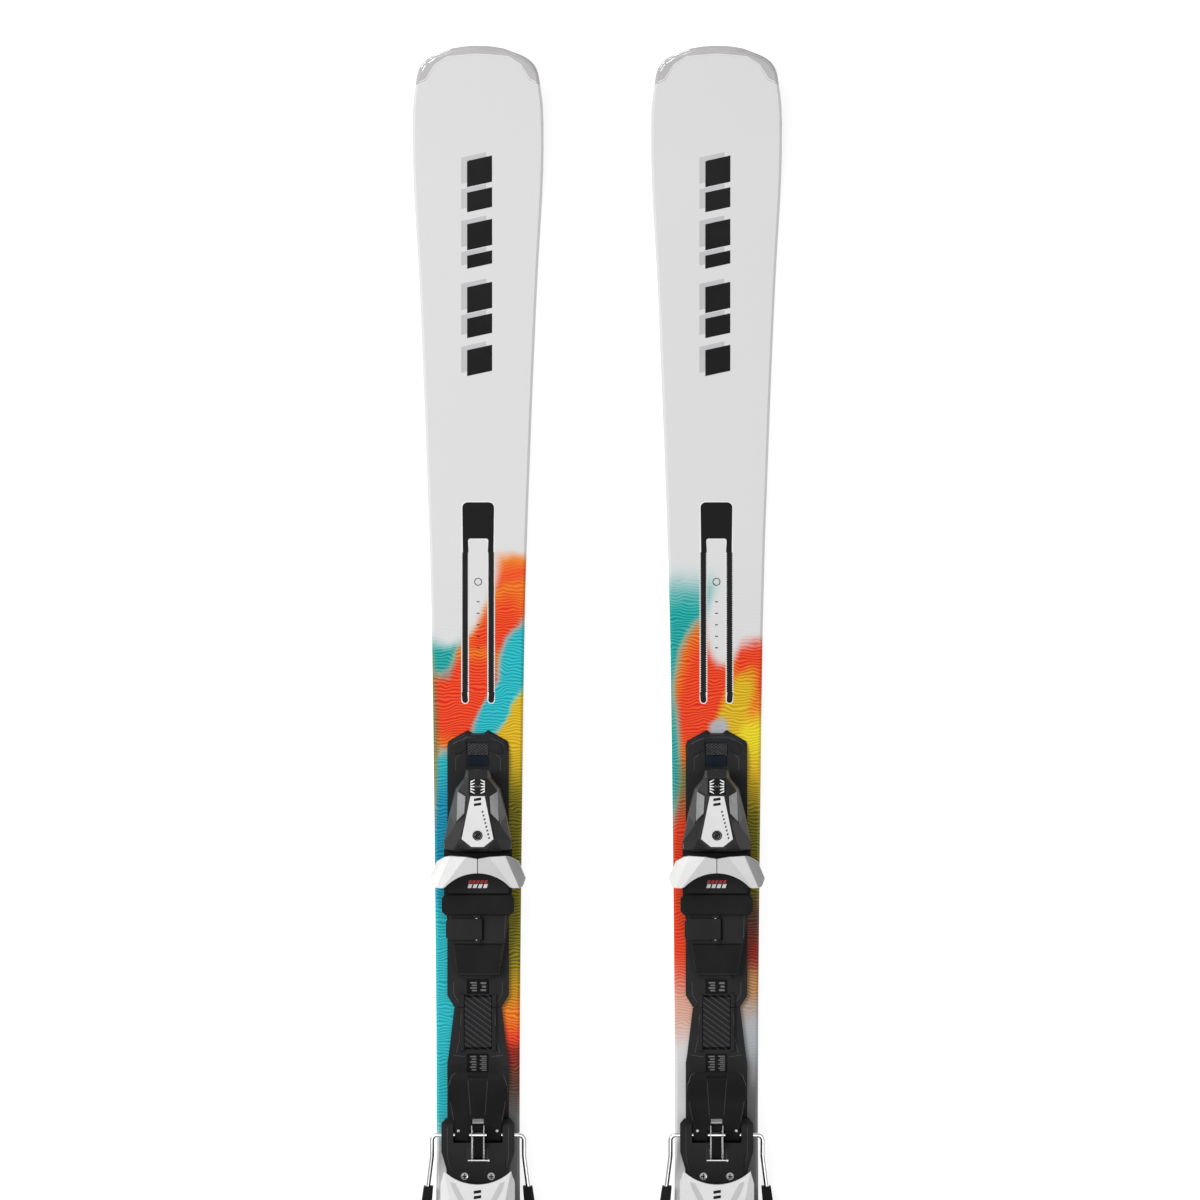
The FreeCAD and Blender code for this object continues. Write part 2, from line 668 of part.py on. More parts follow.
def wing(name, side, hand):
    """One of the two wings that hold the boot's toe. hand is -1 for the left one."""
    body = new_body(name, side)
    plan = [(0.3, 75.5), (3, 79.3), (24, 80.5), (36.4, 77.4), (44, 59.6), (38.4, 51.6), (30.6, 51.8), (0.3, 58)]
    pad(body, "XY", [[(x * hand, y) for x, y in plan]], S.wing_under, S.wing_top - S.wing_under + 1)
    front_view = [(-46, 40), (-46, 57), (-32, 67.5), (-12, S.wing_top + 0.6)]
    trim(body, "XZ", front_view + [(-x, z) for x, z in reversed(front_view)])
    trim(body, "YZ", [(85, 40), (85, 60), (77, 68.5), (66, 71), (50, 66.5), (40, 62), (40, 40)])
    centre = [(0, S.seat_front)]
    bore(body, "XY", centre, S.lip_radius, 0, None, both=True)
    bore(body, "XY", centre, S.seat_radius, 0, S.seat_top)
    bore(body, "XY", [(S.wing_pin_x * hand, S.wing_pin_y)], S.wing_pin + S.pin_play, 40, 26.6)
    return body


def afd_pad(name, side):
    """The pad that the boot's sole slides sideways on, with its tongue in the base's groove."""
    body = new_body(name, side)
    half, low = S.pad_half, S.base_top + 0.35
    plan = [(half - 2.8, 45.2), (half, 42), (half, 29.6), (half - 2.8, 26.5)]
    pad(body, "XY", [mirrored(plan)], low, S.pad_top - low)
    tongue = [(32.2, low - 3.3), (33.7, low), (37.9, low), (39.4, low - 3.3)]
    pad(body, "YZ", [tongue], 0, 40, both=True)
    return body


def toe_lock_lever(name, side):
    body = new_body(name, side)
    plan = [(-29.4, 20.6), (-27.2, 22.9), (3.7, 22.9), (3.7, 3.5), (-27.2, 3.5), (-29.4, 5.8)]
    pad(body, "XY", [plan], S.base_top + 0.4, 3.7)
    bore(body, "XZ", [(S.lever_pin_x, S.lever_pin_z)], S.lever_pin + S.pin_play, -30, 40)
    return body


# ---------------------------------------------------------------- the heel piece

def heel_base(name, side):
    body = new_body(name, side)
    low, half = S.track_top + S.slide_gap, S.heel_half
    floor_top, towers_top = 30, 54
    front = [(22.6, -183), (22.6, -162), (29.5, -160.8), (half, -165.5), (half, -191), (29, -207), (28.4, -222)]
    shelf = S.heel_top - S.heel_step
    pad(body, "XY", [mirrored(front + [(half, -228), (half, -262)])], low, shelf - low)
    pad(body, "XY", [mirrored([(25, -186), (25, -219)])], shelf, S.heel_step)
    pad(body, "XY", [mirrored([(half, -261), (half, -337), (half - 8, -345)])], low, floor_top - low)
    towers = [[(half, -294), (half, -330), (S.cup_neck + 0.5, -330), (S.cup_neck + 0.5, -294)]]
    towers += [[(-x, y) for x, y in towers[0]]]
    pad(body, "XY", towers, floor_top, towers_top - floor_top)
    brow = [(-161, 33), (-166, 37.5), (-182, 40.5), (-200, S.heel_top), (-294, 60), (-300, towers_top + 1)]
    brow += [(-322, towers_top + 1), (-331, 44), (-350, 30), (-350, 20), (-150, 20), (-150, 33)]
    trim(body, "YZ", brow)
    dovetail_channel(body)
    slot = [(6.2, -170), (6.2, -199.6)]
    rack_seat = [(5.5, -150), (5.5, -214)]
    pocket(body, "XY", [mirrored(slot)], S.rail_top, None)
    pocket(body, "XY", [mirrored(rack_seat)], S.rail_top, 2.4)
    bore(body, "YZ", [(S.brake_y, S.brake_z)], S.brake_wire + 0.08, 0, None, both=True)
    bore(body, "YZ", [(S.cup_y, S.cup_z)], S.cup_pin, 0, None, both=True)
    return body


def heel_adjuster(name, side):
    """The steel rack that the heel carriage is set along, with its turned-up tab."""
    body = new_body(name, side)
    low = S.rail_top + 0.6
    pad(body, "XY", [mirrored([(5.5, -159), (5.5, -214)])], low, 1.8)
    pad(body, "XY", [mirrored([(5, -159), (5, -164.6)])], low, 4)
    notches = [mirrored([(3.4, y), (3.4, y - 1.6)]) for y in (-185, -188.4, -191.8, -195.2)]
    pocket(body, "XY", notches, 20, None)
    return body


def heel_pin(name, side):
    start = (-S.heel_half, S.cup_y, S.cup_z)
    return group(name, side, [rod(f"{name}_rod", start, "X", S.cup_pin, S.heel_half * 2)])


def heel_cup(name, side):
    """The heel housing with the jaw that holds the boot's heel down."""
    body = new_body(name, side)
    half, neck = S.cup_half, S.cup_neck
    plan = [(26, -203), (30.4, -206.5), (half, -220), (half, -240), (neck + 1.4, -268), (neck, -293)]
    plan += [(neck, -318), (neck - 4, -334), (18, -342)]
    pad(body, "XY", [mirrored(plan)], 32, 70)
    side_view = [
        (-203, 60), (-203, 76.5), (-215, 82), (-240, 91), (-276, 96), (-325, 94), (-337, 84), (-341, 66),
        (-334, 52), (-322, 38), (-302, 38), (-290, 50), (-262, 52), (-250, 43.2), (-222, 43.2),
    ]
    trim(body, "YZ", side_view)
    trim(body, "XZ", mirrored([(15, 99), (25, 90), (34, 72), (34, 30)]))
    centre = [(0, S.heel_seat)]
    bore(body, "XY", centre, S.heel_lip, 0, None, both=True)
    bore(body, "XY", centre, S.heel_radius, 0, S.lip_under)
    bore(body, "XZ", [(0, S.heel_axis)], 9.5, 260, 90)
    lever_slot = mirrored([(14, -303), (14, -350)])
    pocket(body, "XY", [lever_slot], 78, None)
    bore(body, "YZ", [(S.cup_y, S.cup_z)], S.cup_pin + S.pin_play, 0, None, both=True)
    bore(body, "YZ", [(S.lever_y, S.lever_z)], S.trunnion + S.pin_play, 0, 40, both=True)
    return body


def heel_spring(name, side):
    return shape_node(name, side, coil(-262, -328.6, S.heel_axis.value, 9))


def heel_screw(name, side):
    """The release adjusting screw of the heel, which closes the spring's bore."""
    body = new_body(name, side)
    centre = (0, S.heel_axis)
    pad_disc(body, "XZ", centre, 9.1, 329, 11.4)
    slot = [[(-5.5, S.heel_axis + 0.8), (5.5, S.heel_axis + 0.8), (5.5, S.heel_axis - 0.8), (-5.5, S.heel_axis - 0.8)]]
    pocket(body, "XZ", slot, 338, 3)
    return body


def heel_lever(name, side):
    """The step-out lever, with the trunnions it turns on."""
    body = new_body(name, side)
    pad_disc(body, "YZ", (S.lever_y, S.lever_z), 6, 0, 27.2, both=True)
    arm = [(-316, 91.8), (-344, 99), (-362, 106), (-366, 104.5), (-366, 101.5), (-346, 88), (-322, 81)]
    pad(body, "YZ", [arm], 0, 27.2, both=True)
    grip = [(-349, 100.9), (-362, 106), (-366, 104.5), (-366, 101.5), (-352, 92)]
    pad(body, "YZ", [grip], 0, 38, both=True)
    pad_disc(body, "YZ", (S.lever_y, S.lever_z), S.trunnion, 0, 38, both=True)
    return body


# ---------------------------------------------------------------- the brake

def brake_axis():
    return S.brake_y, S.brake_z


def brake_pedal(name, side):
    """The pedal, drawn flat about the brake's axis and stood up by its tilt."""
    body = new_body(name, side, turn=S.pedal_tilt, pivot=brake_axis())
    plan = [(9, 57.8), (9.8, 62.7), (19.6, 62.7), (23.6, 59.6), (26.9, 50), (27.4, 43), (26.4, 33), (22.6, 14)]
    plan += [(21.4, 8), (21.4, 2.5), (8, 2.5), (8, 6)]
    pad(body, "XY", [mirrored(plan)], -1, 5.4)
    trim(body, "YZ", [(-10, -10), (7, -10), (12, -1), (58, -1), (63, 1), (63, 2.6), (56, 4.4), (-10, 4.4)])
    hubs = [[(8, 2.6), (21.4, 2.6), (21.4, -4.2), (8, -4.2)]]
    hubs += [[(-x, y) for x, y in hubs[0]]]
    pad(body, "XY", hubs, -4.2, 8.4)
    pocket(body, "XY", [mirrored([(5.6, 17.6), (5.6, 10.4)])], -20, None)
    bore(body, "YZ", [(0, 0)], S.brake_wire, 0, None, both=True)
    return body


def brake_arms(name, side):
    """One bent wire: across the pedal, out past the ski's sides and back to the feet."""
    half, bend = S.arm_half.value, 5
    reach = [V(0, 0, 0), V(half, 0, 0), V(half, -20, 0), V(half + 8, -85, 0)]
    path = rounded_path([V(-p.x, p.y, 0) for p in reversed(reach[1:])] + reach[1:], bend)
    return shape_node(name, side, swept_round(path, S.brake_wire.value), turn=S.arm_tilt, pivot=brake_axis())


def brake_foot(name, hand):
    """One foot as a PartDesign body, drawn flat about the brake's axis."""
    body = doc.addObject("PartDesign::Body", name)
    near, far, half = -48.5, -128, S.arm_half
    plan = [(half - 1.4, near), (half + 7.4, near), (half + 17, far + 12), (half + 13.5, far), (half + 5.6, far)]
    pad(body, "XY", [[(x * hand, y) for x, y in plan]], 0, 10.4, both=True)
    trim(body, "YZ", [(near, -3.6), (near, 3.6), (near - 12, 5.2), (far + 20, 5.2), (far, 1), (far, -3.4), (near - 20, -5.2)])
    wire = S.brake_wire + 0.05
    slope = 8 / 65
    ends = [(half + (-20 - y) * slope, y) for y in (-40, -85.2)]
    strip = [(x + wire, y) for x, y in ends] + [(x - wire, y) for x, y in reversed(ends)]
    pocket(body, "XY", [[(x * hand, y) for x, y in strip]], -wire, wire * 2)
    return body


def brake_feet(name, side):
    feet = [brake_foot(f"{name}_{word}", hand) for word, hand in (("inner", -1), ("outer", 1))]
    return group(name, side, feet, turn=S.arm_tilt, pivot=brake_axis())


# ---------------------------------------------------------------- both skis

PIECES = {
    "front_track": front_track, "rear_track": rear_track, "flex_link": flex_link, "track_screws": track_screws,
    "toe_base": toe_base, "toe_housing": toe_housing, "toe_cover": toe_cover, "toe_pins": toe_pins,
    "toe_spring": toe_spring, "toe_screw": toe_screw, "afd_pad": afd_pad, "toe_lock_lever": toe_lock_lever,
    "heel_base": heel_base, "heel_adjuster": heel_adjuster, "heel_pin": heel_pin, "heel_cup": heel_cup,
    "heel_spring": heel_spring, "heel_lever": heel_lever, "heel_screw": heel_screw,
    "brake_pedal": brake_pedal, "brake_arms": brake_arms, "brake_feet": brake_feet,
}

nodes = []
for ski, side in (("left_ski", -1), ("right_ski", 1)):
    for layer, shape in LAYERS.items():
        nodes.append(shape_node(f"{ski}_{layer}", side, shape))
    for piece, build in PIECES.items():
        nodes.append(build(f"{ski}_{piece}", side))
    for word, hand in (("left", -1), ("right", 1)):
        nodes.append(wing(f"{ski}_{word}_wing", side, hand))

doc.recompute()

for item in doc.Objects:
    if "Invalid" in item.State or "Error" in item.State:
        raise RuntimeError(f"{item.Label} failed: {item.State}")

os.makedirs("parts", exist_ok=True)
for node in nodes:
    shape = node.Shape
    if shape.isNull() or not shape.isValid() or not shape.Solids:
        raise RuntimeError(f"{node.Label} has no valid solid")
    shape.exportStep(f"parts/{node.Label}.step")
    print(node.Label, len(shape.Solids), "solids", round(shape.Volume / 1000, 2), "cm3")
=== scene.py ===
import math
import bpy
import bmesh
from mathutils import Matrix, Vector
from mathutils.bvhtree import BVHTree


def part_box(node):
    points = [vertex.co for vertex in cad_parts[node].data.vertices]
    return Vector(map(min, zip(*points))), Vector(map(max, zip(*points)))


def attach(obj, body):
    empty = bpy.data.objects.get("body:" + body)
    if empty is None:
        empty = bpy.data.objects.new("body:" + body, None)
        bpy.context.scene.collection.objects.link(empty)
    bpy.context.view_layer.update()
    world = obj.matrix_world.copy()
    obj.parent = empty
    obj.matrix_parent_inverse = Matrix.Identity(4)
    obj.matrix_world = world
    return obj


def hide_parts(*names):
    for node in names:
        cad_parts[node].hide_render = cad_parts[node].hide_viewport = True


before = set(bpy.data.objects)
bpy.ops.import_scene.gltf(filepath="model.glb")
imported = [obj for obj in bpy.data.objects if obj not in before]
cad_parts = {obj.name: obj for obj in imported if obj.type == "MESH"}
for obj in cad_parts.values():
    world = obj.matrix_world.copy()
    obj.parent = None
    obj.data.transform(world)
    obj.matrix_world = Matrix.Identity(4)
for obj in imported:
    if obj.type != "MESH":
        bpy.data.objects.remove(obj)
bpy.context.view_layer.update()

skis = ("left_ski", "right_ski")


# Places are in millimetres: across from the ski's centre line, back from a node's front, up from its top.
def middleOf(ski):
    low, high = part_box(f"{ski}_wood_core")
    return (low.x + high.x) / 2


def fromNode(ski, piece):
    low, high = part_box(f"{ski}_{piece}")
    x, y, z = middleOf(ski), high.y, high.z
    return lambda across, back, up=0: Vector((x + across / 1000, y - back / 1000, z + up / 1000))


def nodeObject(ski, piece):
    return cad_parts[f"{ski}_{piece}"]


# The studio: a softly glowing floor, a soft key from the left, weaker fills, and a long lens straight above.
stageLook = {
    "floor": (0.5, 0.5, 0.5), "floorReach": 60, "glow": 0.72, "world": 0.45, "aim": (0, 0.25, 0),
    "lensMm": 400, "sensorMm": 36, "viewWidth": 1.104, "viewX": 0.0025, "viewY": 0.316, "deckHeight": 0.03,
    "lights": {    # place, size in metres, watts
        "keyLeft": ((-2.4, 0.9, 3.2), 1.8, 88),
        "keyTop": ((-1.2, 2.6, 3.6), 2.2, 22),
        "fillRight": ((3.4, 0.2, 3.0), 2.6, 3),
        "overhead": ((0.6, -1.8, 4.6), 3.0, 45),
    },
}


def makeStage():
    floorMesh = bpy.data.meshes.new("floor")
    reach = stageLook["floorReach"]
    corners = [(-reach, -reach, 0), (reach, -reach, 0), (reach, reach, 0), (-reach, reach, 0)]
    floorMesh.from_pydata(corners, [], [(0, 1, 2, 3)])
    floor = bpy.data.objects.new("floor", floorMesh)
    bpy.context.scene.collection.objects.link(floor)
    paint = bpy.data.materials.new("paleFloor")
    paint.use_nodes = True
    shader = paint.node_tree.nodes["Principled BSDF"]
    shader.inputs["Base Color"].default_value = (*stageLook["floor"], 1)
    shader.inputs["Roughness"].default_value = 0.9
    shader.inputs["Emission Color"].default_value = (1, 1, 1, 1)
    shader.inputs["Emission Strength"].default_value = stageLook["glow"]
    floor.data.materials.append(paint)
    world = bpy.data.worlds.new("studio")
    bpy.context.scene.world = world
    world.use_nodes = True
    world.node_tree.nodes["Background"].inputs["Color"].default_value = (1, 1, 1, 1)
    world.node_tree.nodes["Background"].inputs["Strength"].default_value = stageLook["world"]
    bpy.context.scene.view_settings.view_transform = "Standard"


def makeCamera():
    camera = bpy.data.cameras.new("camera")
    camera.lens = stageLook["lensMm"]
    camera.sensor_width = stageLook["sensorMm"]
    camera.clip_end = 200
    holder = bpy.data.objects.new("camera", camera)
    bpy.context.scene.collection.objects.link(holder)
    distance = stageLook["viewWidth"] * camera.lens / camera.sensor_width
    holder.location = (stageLook["viewX"], stageLook["viewY"], distance + stageLook["deckHeight"])
    bpy.context.scene.camera = holder


def makeLights():
    for name, (place, size, watts) in stageLook["lights"].items():
        data = bpy.data.lights.new(name, "AREA")
        data.size = size
        data.energy = watts
        lamp = bpy.data.objects.new(name, data)
        bpy.context.scene.collection.objects.link(lamp)
        lamp.location = place
        aim = Vector(stageLook["aim"]) - Vector(place)
        lamp.rotation_euler = aim.to_track_quat("-Z", "Y").to_euler()
        lamp.visible_camera = False


makeStage()
makeCamera()
makeLights()
print("stage: floor, camera and lights are in place")


# Material tools: a short way to add nodes, and the grain that every finish has some of.
class Finish:
    def __init__(self, name, roughness=0.5, metal=0.0, coat=0.0, specular=0.5):
        self.paint = bpy.data.materials.new(name)
        self.paint.use_nodes = True
        self.tree = self.paint.node_tree
        self.shader = self.tree.nodes["Principled BSDF"]
        self.shader.inputs["Metallic"].default_value = metal
        self.shader.inputs["Roughness"].default_value = roughness
        self.shader.inputs["Coat Weight"].default_value = coat
        self.shader.inputs["Specular IOR Level"].default_value = specular
        self.place = self.add("TexCoord").outputs["Object"]

    def add(self, kind, values=None, **settings):
        made = self.tree.nodes.new(f"ShaderNode{kind}")
        for key, setting in settings.items():
            setattr(made, key, setting)
        for key, given in (values or {}).items():
            socket = made.inputs[key]
            if isinstance(given, bpy.types.NodeSocket):
                self.tree.links.new(given, socket)
            else:
                socket.default_value = given
        return made

    def math(self, operation, a, b=0.0, c=0.0, clamp=False):
        return self.add("Math", {0: a, 1: b, 2: c}, operation=operation, use_clamp=clamp).outputs[0]

    def between(self, given, low, high):    # 0 below low, 1 above high, smooth between
        values = {"Value": given, "From Min": low, "From Max": high}
        return self.add("MapRange", values, interpolation_type="SMOOTHSTEP").outputs["Result"]

    def noise(self, scale, detail=3.0, place=None, roughness=0.55):
        values = {"Vector": place or self.place, "Scale": scale, "Detail": detail, "Roughness": roughness}
        return self.add("TexNoise", values).outputs["Fac"]

    def mix(self, amount, a, b, blend="MIX"):
        made = self.add("Mix", data_type="RGBA", blend_type=blend)
        for socket, given in zip((made.inputs[0], made.inputs[6], made.inputs[7]), (amount, a, b)):
            if isinstance(given, bpy.types.NodeSocket):
                self.tree.links.new(given, socket)
            elif isinstance(given, (int, float)):
                socket.default_value = given
            else:
                socket.default_value = (*given, 1)
        return made.outputs[2]

    def feed(self, name, output):
        self.tree.links.new(output, self.shader.inputs[name])

    def bump(self, height, strength, depth):
        made = self.add("Bump", {"Height": height, "Strength": strength, "Distance": depth})
        self.feed("Normal", made.outputs["Normal"])

    def vary(self, spread, scale=60.0):    # the roughness drifts by spread either way about its own value
        middle = self.shader.inputs["Roughness"].default_value
        values = {"Value": self.noise(scale), "To Min": middle - spread, "To Max": middle + spread}
        self.feed("Roughness", self.add("MapRange", values).outputs["Result"])


# The printed top sheet: a pale ground, soft colour fields and a fine contour pattern over them.
# Fields run along the ski by distance in mm behind its middle; patches are ellipses in mm, tilted in degrees.
printLook = {
    "ground": (0.66, 0.66, 0.665), "shade": (0.20, 0.195, 0.195),
    "left_ski": {
        "drift": (0.31, 0.2, 0),
        "leftField": [
            (-300, "ground"), (-268, "teal"), (-196, "teal"), (-164, "aqua"), (-128, "cyan"), (-60, "cyan"),
            (-20, "aqua"), (120, "aqua"), (158, "aqua"), (190, "ground"),
        ],
        "rightField": [
            (-330, "ground"), (-262, "yellow"), (-186, "yellow"), (-120, "olive"), (18, "olive"),
            (48, "ochre"), (70, "amber"), (88, "orange"), (106, "crimson"), (130, "umber"), (166, "shade"),
        ],
        "patches": [    # across, forward, half across, half along, tilt, softness, colour
            (42, 320, 30, 26, -34, 0.8, "orange"), (14, 281, 19, 42, -34, 0.7, "orange"),
            (-14, 222, 34, 44, -24, 0.4, "orange"), (38, 262, 17, 40, -16, 0.5, "aqua"),
            (17, 214, 13, 40, -30, 0.5, "aqua"), (-42, 270, 20, 24, 20, 0.5, "teal"),
            (-16, 318, 24, 48, -34, 0.5, "ground"), (-44, 180, 7, 84, 0, 0.9, "moss"),
        ],
    },
    "right_ski": {
        "drift": (1.7, 0.2, 0),
        "leftField": [
            (-352, "ground"), (-300, "teal"), (-240, "teal"), (-196, "orange"), (-150, "moss"),
            (-108, "orange"), (10, "orange"), (60, "rose"), (108, "ground"),
        ],
        "rightField": [
            (-288, "ground"), (-268, "orange"), (-242, "orange"), (-220, "amber"), (-196, "lemon"),
            (-160, "yellow"), (-110, "olive"), (-52, "olive"), (-26, "umber"), (6, "crimson"), (38, "sand"),
            (84, "mist"), (140, "shade"),
        ],
        "patches": [
            (-12, 226, 24, 56, -6, 0.5, "orange"), (16, 214, 13, 40, -24, 0.7, "yellow"),
            (-46, 176, 12, 70, 0, 0.8, "teal"), (6, 292, 16, 34, 0, 0.6, "ground"),
            (2, 196, 9, 12, 0, 0.9, "mist"),
        ],
    },
    "colours": {
        "teal": (0.02, 0.44, 0.42), "cyan": (0.008, 0.38, 0.54), "aqua": (0.03, 0.53, 0.58),
        "orange": (0.80, 0.088, 0.018), "yellow": (0.72, 0.52, 0.02), "lemon": (0.80, 0.70, 0.03),
        "olive": (0.30, 0.27, 0.003), "ochre": (0.56, 0.33, 0.008), "amber": (0.80, 0.27, 0.016),
        "crimson": (0.36, 0.022, 0.010), "umber": (0.17, 0.07, 0.035), "rose": (0.70, 0.42, 0.33),
        "moss": (0.26, 0.24, 0.08), "sand": (0.50, 0.28, 0.12), "mist": (0.40, 0.42, 0.45),
    },
    "pitchMm": 2.75,    # the contour lines, how far they stray, and where they fade in and out
    "wander": (26, 14.0), "ripple": (78, 6.8), "sway": (22, 34),    # noise scale, and reach in mm
    "linesFrom": (-390, -285), "linesTo": (130, 260), "lineOnColour": 0.46, "lineOnGround": 0.05,
    "seamMm": 8, "seamSway": 0.3, "rimReach": 2.2,
}


def printColour(name):
    return printLook[name] if name in printLook else printLook["colours"][name]


def colourField(finish, along, stops):    # a ramp along the ski
    first, last = stops[0][0], stops[-1][0]
    share = finish.math("DIVIDE", finish.math("SUBTRACT", along, first), last - first)
    ramp = finish.add("ValToRGB", {"Fac": share})
    ramp.color_ramp.interpolation = "EASE"
    elements = ramp.color_ramp.elements
    for number, (place, colour) in enumerate(stops):
        spot = (place - first) / (last - first)
        element = elements[number] if number < 2 else elements.new(spot)
        element.position = spot
        element.color = (*printColour(colour), 1)
    elements[1].position = (stops[1][0] - first) / (last - first)
    return ramp.outputs["Color"]


def sheetPrint(ski):
    finish = Finish(f"{ski}_sheetPrint", roughness=0.32, specular=0.2)
    look = printLook[ski]
    drift = finish.add("Mapping", {"Vector": finish.place, "Location": look["drift"]}).outputs["Vector"]
    axes = finish.add("SeparateXYZ", {"Vector": finish.place}).outputs
    across = finish.math("MULTIPLY", finish.math("SUBTRACT", axes["X"], middleOf(ski)), 1000)
    forward = finish.math("MULTIPLY", axes["Y"], 1000)
    scale, reach = printLook["sway"]
    sway = finish.math("MULTIPLY", finish.math("SUBTRACT", finish.noise(scale, place=drift), 0.5), reach)
    swayed = finish.math("ADD", forward, sway)
    back = finish.math("MULTIPLY", swayed, -1)
    left, right = (colourField(finish, back, look[side]) for side in ("leftField", "rightField"))
    seam = finish.math("MULTIPLY_ADD", sway, printLook["seamSway"], across)
    colour = finish.mix(finish.between(seam, -printLook["seamMm"], printLook["seamMm"]), left, right)
    for x, y, halfX, halfY, tilt, soft, name in look["patches"]:
        turn = math.radians(tilt)
        dx, dy = finish.math("SUBTRACT", across, x), finish.math("SUBTRACT", swayed, y)
        u = finish.math("MULTIPLY_ADD", dx, math.cos(turn), finish.math("MULTIPLY", dy, math.sin(turn)))
        v = finish.math("MULTIPLY_ADD", dy, math.cos(turn), finish.math("MULTIPLY", dx, -math.sin(turn)))
        reach = finish.math("ADD", finish.math("POWER", finish.math("DIVIDE", u, halfX), 2),
                            finish.math("POWER", finish.math("DIVIDE", v, halfY), 2))
        if name == "orange":    # a red core fades out through an amber rim
            rim = finish.between(reach, 1, 1 + printLook["rimReach"] * soft)
            colour = finish.mix(finish.math("SUBTRACT", 1.0, rim), colour, printColour("amber"))
        core = finish.math("SUBTRACT", 1.0, finish.between(reach, 1 - soft, 1 + soft))
        colour = finish.mix(core, colour, printColour(name))
    scale, reach = printLook["wander"]
    wander = finish.math("MULTIPLY", finish.noise(scale, 2, drift), reach)
    scale, reach = printLook["ripple"]
    ripple = finish.math("MULTIPLY", finish.noise(scale, 1, drift), reach)
    height = finish.math("ADD", forward, finish.math("ADD", wander, ripple))
    wave = finish.math("SINE", finish.math("MULTIPLY", height, 2 * math.pi / printLook["pitchMm"]))
    fade = finish.math("SUBTRACT", 1.0, finish.between(back, *printLook["linesTo"]))
    strength = finish.math("MULTIPLY", finish.between(back, *printLook["linesFrom"]), fade)
    vivid = finish.add("SeparateColor", {"Color": colour}, mode="HSV").outputs[1]    # faint on bare ground
    onColour, onGround = printLook["lineOnColour"], printLook["lineOnGround"]
    strength = finish.math("MULTIPLY", strength, finish.math("MULTIPLY_ADD", vivid, onColour, onGround))
    rise = finish.math("MULTIPLY", finish.math("ADD", wave, 1), strength)
    darker = finish.mix(1.0, colour, colour, "MULTIPLY")
    colour = finish.mix(rise, colour, darker)
    finish.feed("Base Color", colour)
    finish.bump(finish.noise(900, 2), 0.05, 0.0002)
    finish.vary(0.06, 35)
    return finish.paint


